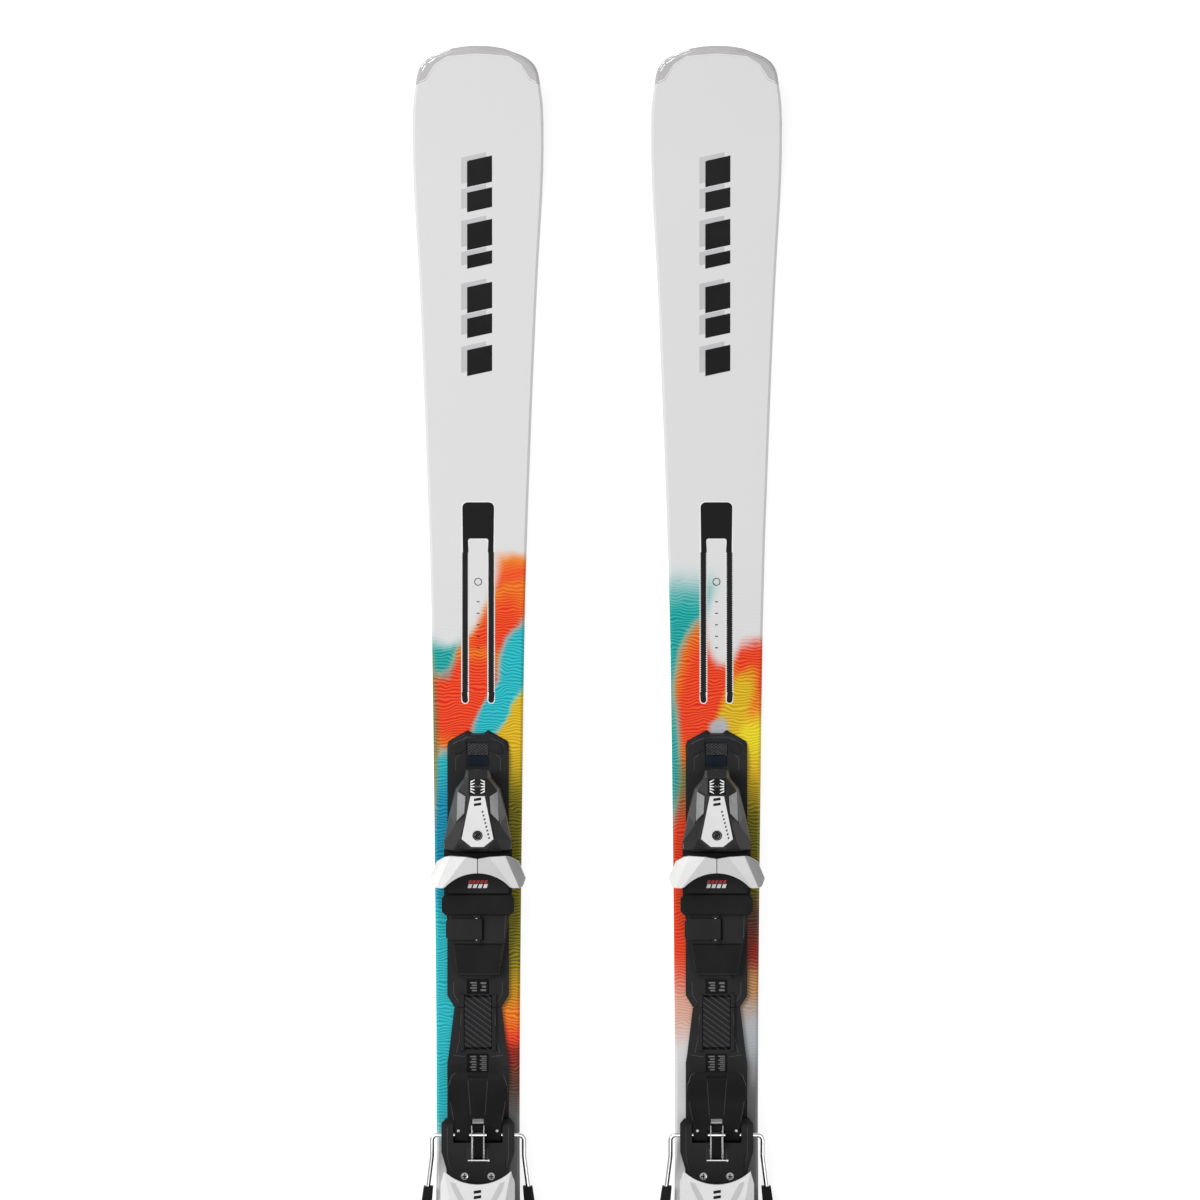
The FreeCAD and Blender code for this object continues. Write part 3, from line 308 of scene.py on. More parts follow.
# Moulded plastics, metals and the rest. Each drifts between two colours, and the grain roughens its surface.
finishLook = {    # colour, lighter colour, roughness, grain as (scale, strength, depth in metres), specular
    "trackBlack": ((0.0105, 0.0108, 0.012), (0.019, 0.019, 0.0205), 0.46, (2600, 0.35, 0.00025), 0.16),
    "mouldedBlack": ((0.0085, 0.0087, 0.0095), (0.017, 0.017, 0.018), 0.44, (3200, 0.4, 0.00022), 0.16),
    "facetBlack": ((0.0095, 0.0097, 0.0105), (0.018, 0.018, 0.019), 0.4, (3200, 0.25, 0.00015), 0.32),
    "padBlack": ((0.0062, 0.0062, 0.0066), (0.0125, 0.0125, 0.013), 0.6, (1500, 0.5, 0.0003), 0.13),
    "glossBlack": ((0.0035, 0.0035, 0.004), (0.008, 0.008, 0.0085), 0.16, (500, 0.03, 0.0001), 0.14),
    "blueBlack": ((0.003, 0.007, 0.016), (0.006, 0.013, 0.026), 0.2, (700, 0.03, 0.0001), 0.18),
    # a lighter bluish black: a painted highlight on the front track's nose
    "slateBlack": ((0.019, 0.025, 0.034), (0.032, 0.040, 0.052), 0.4, (2600, 0.3, 0.0002), 0.25),
    "inlayBlack": ((0.0055, 0.0055, 0.006), (0.0105, 0.0105, 0.011), 0.42, (1800, 0.2, 0.0001), 0.14),
    "windowGrey": ((0.21, 0.21, 0.215), (0.33, 0.33, 0.335), 0.34, (500, 0.02, 0.0001), 0.35),
    "glossWhite": ((0.66, 0.66, 0.665), (0.72, 0.72, 0.725), 0.4, (900, 0.05, 0.0001), 0.3),
    # The next two are darker copies of the gloss white: painted shade on the wings' facets.
    "wingWhite": ((0.53, 0.53, 0.535), (0.59, 0.59, 0.595), 0.36, (900, 0.05, 0.0001), 0.3),
    "bevelGrey": ((0.32, 0.32, 0.325), (0.39, 0.39, 0.395), 0.36, (900, 0.05, 0.0001), 0.3),
    "markWhite": ((0.78, 0.78, 0.77), (0.84, 0.84, 0.83), 0.4, (1500, 0.1, 0.0001), 0.5),
    "markGrey": ((0.10, 0.10, 0.105), (0.15, 0.15, 0.155), 0.5, (1500, 0.1, 0.0001), 0.5),
    "shadowGrey": ((0.47, 0.47, 0.48), (0.52, 0.52, 0.53), 0.35, (1500, 0.08, 0.0001), 0.5),
    # grey for the cover's printed dashes, and for painted highlights along the edges of black parts
    "seamGrey": ((0.045, 0.045, 0.047), (0.07, 0.07, 0.073), 0.4, (1500, 0.1, 0.0001), 0.2),
    "markRed": ((0.42, 0.012, 0.016), (0.5, 0.02, 0.025), 0.4, (1500, 0.1, 0.0001), 0.5),
    "wallBlack": ((0.035, 0.035, 0.037), (0.05, 0.05, 0.052), 0.45, (900, 0.2, 0.0002), 0.5),
    "baseBlack": ((0.012, 0.012, 0.014), (0.022, 0.022, 0.024), 0.4, (1200, 0.15, 0.0002), 0.5),
    "guardGrey": ((0.42, 0.41, 0.41), (0.49, 0.48, 0.48), 0.3, (1800, 0.15, 0.0001), 0.5),
    "coreWood": ((0.46, 0.29, 0.14), (0.62, 0.42, 0.22), 0.7, (300, 0.3, 0.0004), 0.5),
    "edgeSteel": ((0.55, 0.55, 0.56), (0.66, 0.66, 0.67), 0.32, (1600, 0.15, 0.0001), 0.5),
    "chrome": ((0.80, 0.80, 0.81), (0.86, 0.86, 0.87), 0.12, (900, 0.03, 0.0001), 0.5),
    "screwSteel": ((0.52, 0.52, 0.54), (0.64, 0.64, 0.66), 0.3, (1800, 0.2, 0.0001), 0.5),
    "springSteel": ((0.33, 0.34, 0.36), (0.44, 0.45, 0.47), 0.38, (1800, 0.2, 0.0001), 0.5),
    "darkSteel": ((0.035, 0.035, 0.038), (0.06, 0.06, 0.064), 0.24, (1400, 0.1, 0.0001), 0.5),
}


metalFinishes = ("edgeSteel", "chrome", "screwSteel", "springSteel", "darkSteel")
coatedFinishes = {"guardGrey": 0.2}


def makeFinish(name):
    colour, lighter, rough, (scale, strength, depth), specular = finishLook[name]
    finish = Finish(name, rough, float(name in metalFinishes), coatedFinishes.get(name, 0.0), specular)
    cloud = finish.between(finish.noise(28, 4), 0.35, 0.7)
    fleck = finish.between(finish.noise(scale * 0.6, 2), 0.5, 0.75)
    amount = finish.math("MULTIPLY_ADD", cloud, 0.6, finish.math("MULTIPLY", fleck, 0.4), clamp=True)
    finish.feed("Base Color", finish.mix(amount, colour, lighter))
    finish.bump(finish.noise(scale, 2), strength, depth)
    finish.vary(rough * 0.18)
    return finish.paint


weaveLook = {
    "pitchMm": 6.21, "crossPitchMm": 2.97, "lean": (0.85, 1.15), "strong": 0.8, "crossStrong": 1.0,
    "stripe": (0.095, 0.098, 0.106), "dark": (0.006, 0.006, 0.0068),
}


def carbonStripes(name, cross=False):    # fine tows that run aslant, or cross each other
    finish = Finish(name, roughness=0.34, specular=0.2)
    axes = finish.add("SeparateXYZ", {"Vector": finish.place}).outputs
    pitch = weaveLook["crossPitchMm" if cross else "pitchMm"]
    overX, overY = weaveLook["lean"]
    stripes = []
    for lean in ((1, -1) if cross else (1,)):
        along = finish.math("MULTIPLY", axes["Y"], overY * lean)
        slant = finish.math("MULTIPLY_ADD", axes["X"], overX, along)
        wave = finish.math("SINE", finish.math("MULTIPLY", slant, 2000 * math.pi / pitch))
        stripes.append(finish.between(wave, 0.55, 0.95))
    amount = finish.math("MAXIMUM", stripes[0], stripes[-1])
    amount = finish.math("MULTIPLY", amount, weaveLook["crossStrong" if cross else "strong"])
    fray = finish.between(finish.noise(1400, 2), 0.3, 0.7)
    frayed = finish.math("MULTIPLY", amount, fray)
    finish.feed("Base Color", finish.mix(frayed, weaveLook["dark"], weaveLook["stripe"]))
    finish.bump(amount, 0.3, 0.0002)
    finish.vary(0.08)
    return finish.paint


twillLook = {    # the ribs run aslant and stop ahead of fadeFrom, in metres along the ski
    "pitchMm": 1.9, "slant": 0.55, "fadeFrom": 0.33, "fadeTo": 0.37,
    "dark": (0.0055, 0.0055, 0.006), "rib": (0.016, 0.016, 0.0175),
}


def twillInlay():    # the fork's rubbery cord, with slanted ribs
    finish = Finish("twillInlay", roughness=0.45, specular=0.14)
    axes = finish.add("SeparateXYZ", {"Vector": finish.place}).outputs
    slant = finish.math("SUBTRACT", axes["Y"], finish.math("MULTIPLY", axes["X"], twillLook["slant"]))
    wave = finish.math("SINE", finish.math("MULTIPLY", slant, 2000 * math.pi / twillLook["pitchMm"]))
    fade = finish.math("SUBTRACT", 1.0, finish.between(axes["Y"], twillLook["fadeFrom"], twillLook["fadeTo"]))
    rib = finish.math("MULTIPLY", finish.between(wave, -0.4, 0.9), fade)
    finish.feed("Base Color", finish.mix(rib, twillLook["dark"], twillLook["rib"]))
    finish.bump(rib, 0.5, 0.0003)
    finish.vary(0.08)
    return finish.paint


paints = {name: makeFinish(name) for name in finishLook}
paints["carbonStripes"] = carbonStripes("carbonStripes")
paints["carbonCross"] = carbonStripes("carbonCross", cross=True)
paints["twillInlay"] = twillInlay()
print(f"materials: {len(paints)} finishes and two printed top sheets")


# Which finish each CAD piece wears, and how far its edges are rounded, in mm.
nodeFinish = {
    "running_base": ("baseBlack", 0), "steel_edges": ("edgeSteel", 0), "wood_core": ("coreWood", 0),
    "sidewalls": ("wallBlack", 0), "end_guards": ("guardGrey", 0.3), "front_track": ("trackBlack", 0.35),
    "rear_track": ("trackBlack", 0.35), "flex_link": ("carbonStripes", 0.25),
    "track_screws": ("screwSteel", 0.15), "toe_base": ("mouldedBlack", 0.4),
    "toe_housing": ("mouldedBlack", 0.5), "toe_cover": ("glossWhite", 0.12), "toe_pins": ("chrome", 0.2),
    "toe_spring": ("springSteel", 0), "toe_screw": ("screwSteel", 0.2), "left_wing": ("glossWhite", 0.6),
    "right_wing": ("glossWhite", 0.6), "afd_pad": ("padBlack", 1.1),
    "toe_lock_lever": ("mouldedBlack", 0.3), "heel_base": ("mouldedBlack", 0.5),
    "heel_adjuster": ("chrome", 0.2), "heel_pin": ("chrome", 0.3), "heel_cup": ("glossWhite", 0.8),
    "heel_spring": ("springSteel", 0), "heel_screw": ("screwSteel", 0.3),
    "heel_lever": ("mouldedBlack", 0.6), "brake_pedal": ("padBlack", 0.6), "brake_arms": ("chrome", 0),
    "brake_feet": ("padBlack", 0.6),
}


def roundEdges(piece, width):    # welds the mesh, then rounds its sharp edges
    weld = piece.modifiers.new("weld", "WELD")
    weld.merge_threshold = 0.00001
    if width:
        rounding = piece.modifiers.new("rounding", "BEVEL")
        rounding.width = width / 1000
        rounding.segments = 2
        rounding.limit_method = "ANGLE"
        rounding.angle_limit = math.radians(28)
        rounding.harden_normals = False
    even = piece.modifiers.new("even", "WEIGHTED_NORMAL")
    even.keep_sharp = True


def wear(piece, paint):
    piece.data.materials.clear()
    piece.data.materials.append(paint)


for ski in skis:
    wear(nodeObject(ski, "top_sheet"), sheetPrint(ski))
    for piece, (finishName, width) in nodeFinish.items():
        target = nodeObject(ski, piece)
        wear(target, paints[finishName])
        if width:
            roundEdges(target, width)
print("finishes: every CAD piece has its material")


# Mesh tools for the added pieces.
def keep(name, mesh, ski, body, paint):
    piece = bpy.data.objects.new(f"{ski}_{name}", mesh)
    bpy.context.scene.collection.objects.link(piece)
    mesh.materials.append(paints[paint] if isinstance(paint, str) else paint)
    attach(piece, f"{ski}{body}")
    return piece


def meshFrom(name, points, faces):
    mesh = bpy.data.meshes.new(name)
    mesh.from_pydata([tuple(p) for p in points], [], faces)
    sheet = bmesh.new()
    sheet.from_mesh(mesh)
    bmesh.ops.recalc_face_normals(sheet, faces=sheet.faces)
    sheet.to_mesh(mesh)
    sheet.free()
    return mesh


def mirroredLoop(half):    # a loop closed by its mirror image
    return half + [(-x, y) for x, y in reversed(half) if x]


def bothSides(loops):    # the loops and their mirror images
    return loops + [[(-x, y) for x, y in reversed(loop)] for loop in loops]


def barLoop(left, right, front, rear, slant=0):    # a bar whose left side lies further back by slant
    return [(left, front + slant), (right, front), (right, rear), (left, rear + slant)]


def pairsOf(ring):    # each item with the next, and the last with the first
    return list(zip(ring, ring[1:] + ring[:1]))


def wallFaces(lower, upper, count):    # the quads between two rings of points
    return [(lower + i, lower + (i + 1) % count, upper + (i + 1) % count, upper + i) for i in range(count)]


def slabMesh(name, place, loops, low, high, taper=0.0):    # flat plates, their tops drawn in by taper
    points, faces = [], []
    for loop in loops:
        start, count = len(points), len(loop)
        cx, cy = sum(x for x, y in loop) / count, sum(y for x, y in loop) / count
        for level, draw in ((low, 0.0), (high, taper)):
            for x, y in loop:
                reach = math.hypot(x - cx, y - cy) or 1
                points.append(place(x + (cx - x) / reach * draw, y + (cy - y) / reach * draw, level))
        faces.append(tuple(start + i for i in range(count)))
        faces.append(tuple(start + count + i for i in range(count)))
        faces += wallFaces(start, start + count, count)
    return meshFrom(name, points, faces)


surfaceTrees = {}
skyHeight = 0.5    # metres, higher than any piece
filmSunk = 0.0002    # how far a film reaches into the surface under it, in metres


def surfaceUnder(node, point):    # the height of a node's upper surface at a point, or None beside it
    if node not in surfaceTrees:
        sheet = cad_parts[node].data
        corners = [v.co for v in sheet.vertices]
        surfaceTrees[node] = BVHTree.FromPolygons(corners, [p.vertices for p in sheet.polygons])
    hit = surfaceTrees[node].ray_cast(Vector((point.x, point.y, skyHeight)), Vector((0, 0, -1)))
    return hit[0].z if hit[0] else None


def heightOver(node, point):
    found = surfaceUnder(node, point)
    return point.z if found is None else found


def inlayMesh(name, ski, place, loops, proud, cell=10, on="top_sheet"):    # a film over a node's surface
    film = bmesh.new()
    for loop in loops:
        corners = [film.verts.new(place(x, y)) for x, y in loop]
        for corner in corners:
            corner.co.z = 0
        ring = [film.edges.new(ends) for ends in pairsOf(corners)]
        bmesh.ops.triangle_fill(film, use_beauty=True, use_dissolve=True, edges=ring)
    low, high = min(v.co.y for v in film.verts), max(v.co.y for v in film.verts)
    for number in range(1, int((high - low) * 1000 / cell) + 1):
        cut = low + number * cell / 1000
        everything = film.verts[:] + film.edges[:] + film.faces[:]
        bmesh.ops.bisect_plane(film, geom=everything, plane_co=(0, cut, 0), plane_no=(0, 1, 0))
    beside = [v for v in film.verts if surfaceUnder(f"{ski}_{on}", v.co) is None]
    bmesh.ops.delete(film, geom=beside, context="VERTS")
    for face in film.faces:
        if face.normal.z < 0:
            face.normal_flip()
    under = bmesh.ops.extrude_face_region(film, geom=film.faces[:])
    lower = {v for v in under["geom"] if isinstance(v, bmesh.types.BMVert)}
    for corner in film.verts:
        deck = heightOver(f"{ski}_{on}", corner.co)
        corner.co.z = deck + (proud / 1000 if corner in lower else -filmSunk)
    bmesh.ops.recalc_face_normals(film, faces=film.faces)
    mesh = bpy.data.meshes.new(name)
    film.to_mesh(mesh)
    film.free()
    return mesh


def arc(cx, cy, radius, start, end, steps):    # points along an arc, angles in degrees
    turns = [math.radians(start + (end - start) * i / steps) for i in range(steps + 1)]
    return [(cx + radius * math.cos(a), cy + radius * math.sin(a)) for a in turns]


def lineLoop(path, width):    # a narrow loop that follows a path
    sides = ([], [])
    for number, (x, y) in enumerate(path):
        (ax, ay), (bx, by) = path[max(number - 1, 0)], path[min(number + 1, len(path) - 1)]
        reach = math.hypot(bx - ax, by - ay)
        for sign, row in zip((1, -1), sides):
            row.append((x - sign * (by - ay) / reach * width / 2, y + sign * (bx - ax) / reach * width / 2))
    return sides[0] + sides[1][::-1]


# The tip guard's polished front edge, and the pale line where the printed sheet meets it.
tipTrim = {
    "edge": [(0, 1.9), (24, 4.4), (39.2, 10.2), (47.8, 15.9), (52.6, 22.8)], "edgeWide": 2.6,
    "line": [(0, 7.6), (27.7, 9.9), (39.3, 17.2), (47.7, 30.2), (53.8, 33)], "lineWide": 0.8,
}


def makeTipTrim(ski):
    place = fromNode(ski, "end_guards")
    for name, paint in (("edge", "edgeSteel"), ("line", "markWhite")):
        half = tipTrim[name]
        path = [(-x, y) for x, y in reversed(half) if x] + half
        loops = [lineLoop(path, tipTrim[f"{name}Wide"])]
        mesh = inlayMesh(f"tip{name}", ski, place, loops, 0.25, 4, "end_guards")
        keep(f"tip_{name}", mesh, ski, "", paint)


# The fork-shaped inlay ahead of the binding, with its pale outline.
forkInlay = {
    "back": 410.8, "halfWide": 14.6, "bridge": 33.4, "prong": 5.2, "length": 184.8, "corner": 4.8,
    "window": 2.2, "rope": 46, "ropePitch": 2.1, "ropeDepth": 0.55, "outline": 0.9,
}


def forkLoop(look, grow=0.0, rope=True):    # y runs back from the inlay's top
    half, inner = look["halfWide"] + grow, look["halfWide"] - look["prong"] - grow
    end, bridge = look["length"] + grow, look["bridge"] + grow
    outer = arc(half - look["corner"], -grow + look["corner"], look["corner"], 270, 360, 5)
    tip = arc((half + inner) / 2, end - (half - inner) / 2, (half - inner) / 2, 0, 180, 8)
    count = int((end - 8 - look["rope"]) / look["ropePitch"] * 2) if rope else 0
    pitch, depth = look["ropePitch"] / 2, look["ropeDepth"]
    teeth = [(look["rope"] + i * pitch, depth * (1 if i % 2 else -1)) for i in range(count)]
    outside = [(half + out, y) for y, out in teeth]
    inside = [(inner + out, y) for y, out in reversed(teeth)]
    crown = arc(inner - look["window"], bridge + look["window"], look["window"], 360, 270, 4)
    return mirroredLoop(outer + outside + tip + inside + crown)


def makeFork(ski):
    place = fromNode(ski, "top_sheet")
    shifted = lambda x, y: place(x, forkInlay["back"] + y)
    outline = forkLoop(forkInlay, forkInlay["outline"], rope=False)
    halo = inlayMesh("forkOutline", ski, shifted, [outline], 0.12)
    keep("fork_outline", halo, ski, "", "markWhite")
    fork = inlayMesh("forkInlay", ski, shifted, [forkLoop(forkInlay)], 0.35)
    keep("fork_inlay", fork, ski, "", "twillInlay")


# Plain slanted bars on the shovel, each with a grey offset behind it, and small marks inside the fork.
barMarks = {
    "back": 91.5, "pitch": 29.0, "lengths": (24, 18, 24, 12, 24, 18, 24), "left": -10.2, "wide": 23.0,
    "slant": 5.0, "shadow": (-5.5, -3.0),
}
forkMarks = {
    "ringBack": 484, "ringOuter": 3.6, "ringInner": 2.9,
    "dashBack": 502, "dashPitch": 10.6, "dashes": 5, "dash": (2.6, 0.9),
}


def makeBars(ski):
    place = fromNode(ski, "top_sheet")
    dx, dy = barMarks["shadow"]
    bars, shadows = [], []
    for number, length in enumerate(barMarks["lengths"]):
        top = barMarks["back"] + number * barMarks["pitch"]
        right = barMarks["left"] + barMarks["wide"]
        loop = barLoop(barMarks["left"], right, top, top + length, barMarks["slant"])
        bars.append(loop)
        shadows.append([(x + dx, y + dy) for x, y in loop])
    mesh = inlayMesh("barShadows", ski, place, shadows, 0.1)
    keep("bar_shadows", mesh, ski, "", "shadowGrey")
    mesh = inlayMesh("barMarks", ski, place, bars, 0.2)
    keep("bar_marks", mesh, ski, "", "inlayBlack")


def makeForkMarks(ski):
    place = fromNode(ski, "top_sheet")
    ring = []
    middle = forkMarks["ringBack"]
    for half in (0, 180):
        outside = arc(0, middle, forkMarks["ringOuter"], half, half + 180, 14)
        inside = arc(0, middle, forkMarks["ringInner"], half + 180, half, 14)
        ring.append(outside + inside)
    wide, tall = forkMarks["dash"]
    dashes = []
    for number in range(forkMarks["dashes"]):
        y = forkMarks["dashBack"] + number * forkMarks["dashPitch"]
        dashes.append(barLoop(-wide / 2, wide / 2, y, y + tall))
    mesh = inlayMesh("forkMarks", ski, place, ring + dashes, 0.12)
    keep("fork_marks", mesh, ski, "", "inlayBlack")


for ski in skis:
    makeFork(ski)
    makeBars(ski)
    makeForkMarks(ski)
    makeTipTrim(ski)
print("deck: fork inlays and marks are laid on both top sheets")


def shellMesh(name, place, points, faces, fill=()):    # a cage given for its right half, and mirrored
    names = list(points)
    spots = [place(*points[n]) for n in names]
    lookup = {n: i for i, n in enumerate(names)}
    flipped = dict(lookup)
    for n in names:
        x, y, z = points[n]
        if abs(x) > 0.01:
            flipped[n] = len(spots)
            spots.append(place(-x, y, z))
    polygons = []
    for face in faces:
        polygons.append([lookup[n] for n in face.split()])
        other = [flipped[n] for n in reversed(face.split())]
        if set(other) != set(polygons[-1]):
            polygons.append(other)
    mesh = bpy.data.meshes.new(name)
    mesh.from_pydata([tuple(p) for p in spots], [], polygons)
    cage = bmesh.new()
    cage.from_mesh(mesh)
    for loop, (x, y, z), radius, depth in fill:    # a flat face with a blind round hole in it
        turns = [2 * math.pi * i / 24 for i in range(24)]
        ring = [cage.verts.new(place(x + radius * math.cos(a), y, z + radius * math.sin(a))) for a in turns]
        cage.verts.ensure_lookup_table()
        half = loop.split()
        rim = [lookup[n] for n in half] + [flipped[n] for n in reversed(half) if flipped[n] != lookup[n]]
        outline = [cage.verts[i] for i in rim]
        edges = [cage.edges.get(ends) or cage.edges.new(ends) for ends in pairsOf(outline)]
        edges += [cage.edges.new(ends) for ends in pairsOf(ring)]
        bmesh.ops.triangle_fill(cage, use_beauty=True, use_dissolve=False, edges=edges)
        bottom = [cage.verts.new(v.co + Vector((0, -depth / 1000, 0))) for v in ring]
        for (a, b), (c, d) in zip(pairsOf(ring), pairsOf(bottom)):
            cage.faces.new((a, b, d, c))
        cage.faces.new(bottom)
    bmesh.ops.recalc_face_normals(cage, faces=cage.faces)
    cage.to_mesh(mesh)
    cage.free()
    return mesh


# The toe housing: a faceted shell. Each corner is across, back from the front, up from the top.
toeShell = {
    "corners": {
        "footFront": (0, 0, -40), "footFrontSide": (10.6, 0, -40), "footNose": (12.6, 7.5, -40),
        "footCheek": (20.8, 17.5, -40), "footWaist": (26.6, 42, -40), "footFlare": (30.9, 66, -40),
        "footHeel": (31, 73.5, -40), "footRear": (20, 76.4, -40), "footEnd": (0, 76.4, -40),
        "noseTop": (10.4, 0.4, -23), "noseSide": (12.4, 8, -22), "cheekSide": (19.2, 17.5, -21),
        "waistSide": (25.6, 42, -22), "flareSide": (31, 66, -19), "heelSide": (30.2, 73, -21),
        "rearSide": (20, 75.6, -20), "rearEnd": (0, 75.8, -20), "frontTop": (0, 1, -14.6),
        "frontEdge": (9.0, 1, -15), "browMiddle": (0, 7.5, -11.2), "brow": (8.9, 7.5, -11.2),
        "sillMiddle": (0, 23.6, -6.8), "sill": (8.9, 23.6, -6.9), "ridgeMiddle": (0, 38.5, -2.9),
        "ridge": (10.2, 38.5, -3.4), "crownMiddle": (0, 63, -0.4), "crown": (17.2, 63.6, -1.4),
        "crownEnd": (0, 72.6, -1.6), "crownRear": (7.6, 73.2, -2.2), "glassFront": (17.4, 18.2, -12.6),
        "glassRear": (20.4, 50.5, -9.5), "hipRear": (21.6, 73.4, -12),
    },
    "faces": (
        "footFrontSide footNose noseSide noseTop", "footNose footCheek cheekSide noseSide",
        "footCheek footWaist waistSide cheekSide", "footWaist footFlare flareSide waistSide",
        "footFlare footHeel heelSide flareSide", "footHeel footRear rearSide heelSide",
        "footRear footEnd rearEnd rearSide", "noseTop noseSide brow frontEdge",
        "noseSide cheekSide glassFront brow", "brow glassFront sill", "sill glassFront glassRear ridge",
        "cheekSide waistSide glassRear glassFront", "waistSide flareSide glassRear",
        "ridge glassRear flareSide crown", "crown flareSide heelSide hipRear", "heelSide rearSide hipRear",
        "crown hipRear crownRear", "hipRear rearSide rearEnd crownEnd crownRear",
        "frontTop frontEdge brow browMiddle", "browMiddle brow sill sillMiddle",
        "sillMiddle sill ridge ridgeMiddle", "ridgeMiddle ridge crown crownMiddle",
        "crownMiddle crown crownRear crownEnd",
        "footFront footFrontSide footNose footCheek footWaist footFlare footHeel footRear footEnd",
    ),
    "screwHole": (6.3, 9), "screwUp": -21,
    "glass": [(18.2, 20.4), (11.2, 24.6), (12.2, 40), (19.4, 47.4)],
}


def facetPlate(name, corners, lift, thick):    # a thin plate that stands off a facet given by its corners
    normal = (corners[1] - corners[0]).cross(corners[2] - corners[0]).normalized()
    if normal.z < 0:
        normal = -normal
    low = [c + normal * (lift - thick) / 1000 for c in corners]
    high = [c + normal * lift / 1000 for c in corners]
    count = len(corners)
    caps = [tuple(range(count)), tuple(range(count, 2 * count))]
    return meshFrom(name, low + high, caps + wallFaces(0, count, count))


def onFacet(names, x, back):    # the point of a housing facet that lies under (x, back)
    a, b, c = (Vector(toeShell["corners"][n]) for n in names)
    normal = (b - a).cross(c - a)
    up = a.z - (normal.x * (x - a.x) + normal.y * (back - a.y)) / normal.z
    return Vector((x, back, up))


def makeToeShell(ski):
    place = fromNode(ski, "toe_housing")
    radius, depth = toeShell["screwHole"]
    hole = ("footFront footFrontSide noseTop frontEdge frontTop", (0, 0, toeShell["screwUp"]), radius, depth)
    mesh = shellMesh("toeShell", place, toeShell["corners"], toeShell["faces"], fill=(hole,))
    shell = keep("toe_shell", mesh, ski, "_toe_carriage", "facetBlack")
    roundEdges(shell, 0.5)
    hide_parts(f"{ski}_toe_housing")
    for word, side in (("left", -1), ("right", 1)):
        spots = [onFacet(("sill", "glassFront", "ridge"), x, back) for x, back in toeShell["glass"]]
        mesh = facetPlate("toeWindow", [place(side * p.x, p.y, p.z) for p in spots], 0.35, 1.2)
        glass = keep(f"toe_{word}_window", mesh, ski, "_toe_carriage", "windowGrey")
        roundEdges(glass, 0.25)


# The release-scale window, with its fan of marks, and the screw seen through the cover.
scaleWindow = {
    "half": 8.2, "front": 8.2, "rear": 23.2, "upFront": -11.0, "upRear": -6.7,
    "marks": 5, "spread": 32, "fan": 12.4, "reach": (2.7, 6.6), "markHalf": (0.32, 0.85), "markUp": 0.62,
    "pointerHalf": 1.6, "pointerLong": 1.5, "pointerWide": 0.35, "pointerUp": (0.3, 0.75),
}
coverScrew = {"back": 60.5, "up": 1.0, "radius": 3.7, "washer": 4.6}


def makeScaleWindow(ski):
    place = fromNode(ski, "toe_housing")
    look = scaleWindow
    slope = (look["upRear"] - look["upFront"]) / (look["rear"] - look["front"])
    upAt = lambda back: look["upFront"] + (back - look["front"]) * slope
    outline = barLoop(-look["half"], look["half"], look["front"], look["rear"])
    mesh = facetPlate("scaleWindow", [place(x, back, upAt(back)) for x, back in outline], 0.5, 1.4)
    window = keep("scale_window", mesh, ski, "_toe_carriage", "glossBlack")
    roundEdges(window, 0.3)
    points, faces = [], []
    middle = (look["front"] + look["rear"]) / 2
    for side in (-1, 1):
        for number in range(look["marks"]):
            share = number / (look["marks"] - 1) - 0.5
            angle = math.radians(-share * look["spread"] * 2)
            back = middle + share * look["fan"]
            for reach, half in zip(look["reach"], look["markHalf"]):
                for turn in (-1, 1):
                    y = back + (reach - look["reach"][0]) * math.sin(angle) + turn * half
                    points.append(place(side * reach, y, upAt(y) + look["markUp"]))
            start = len(points) - 4
            faces.append((start, start + 2, start + 3, start + 1))
    marks = meshFrom("scaleMarks", points, faces)
    piece = keep("scale_marks", marks, ski, "_toe_carriage", "markWhite")
    piece.modifiers.new("thick", "SOLIDIFY").thickness = 0.0001
    half, long, wide = look["pointerHalf"], look["pointerLong"], look["pointerWide"]
    cross = [barLoop(-half, half, middle - wide, middle + wide)]
    cross += [barLoop(x - wide, x + wide, middle - long, middle + long) for x in (-half, half)]
    low, high = (upAt(middle) + up for up in look["pointerUp"])
    pointer = slabMesh("scalePointer", place, cross, low, high)
    keep("scale_pointer", pointer, ski, "_toe_carriage", "markGrey")


def latheMesh(name, centre, profile, steps=32):    # turns (radius, height) pairs in mm about an upright axis
    points, faces = [], []
    for radius, height in profile:
        for i in range(steps):
            a = 2 * math.pi * i / steps
            points.append(centre + Vector((radius * math.cos(a), radius * math.sin(a), height)) / 1000)
    for ring in range(len(profile) - 1):
        faces += wallFaces(ring * steps, (ring + 1) * steps, steps)
    faces.append(tuple(range(steps)))
    faces.append(tuple(range((len(profile) - 1) * steps, len(profile) * steps)))
    return meshFrom(name, points, faces)


coverMarks = {
    "bars": ((25.6, 28.0), (30.2, 32.6)), "half": 3.3, "slant": 1.0,
    "row": ((4.6, 38), (10.6, 62)), "count": 8, "dash": (0.75, 1.7), "dashSlant": 0.4,
}


def makeCoverMarks(ski):    # bars at the front of the white cover, and dashes along its right edge
    place = fromNode(ski, "toe_housing")
    half, slant = coverMarks["half"], coverMarks["slant"]
    loops = [barLoop(-half, half, front, rear, slant) for front, rear in coverMarks["bars"]]
    (startX, startY), (endX, endY) = coverMarks["row"]
    wide, tall = coverMarks["dash"]
    lean = coverMarks["dashSlant"]
    for number in range(coverMarks["count"]):
        share = number / (coverMarks["count"] - 1)
        x, y = startX + (endX - startX) * share, startY + (endY - startY) * share
        loops.append(barLoop(x - wide, x + wide, y - lean, y - lean + tall, lean))
    for name, group, paint in (("bars", loops[:2], "inlayBlack"), ("dashes", loops[2:], "seamGrey")):
        mesh = inlayMesh(f"cover{name}", ski, place, group, 0.15, on="toe_cover")
        keep(f"cover_{name}", mesh, ski, "_toe_carriage", paint)


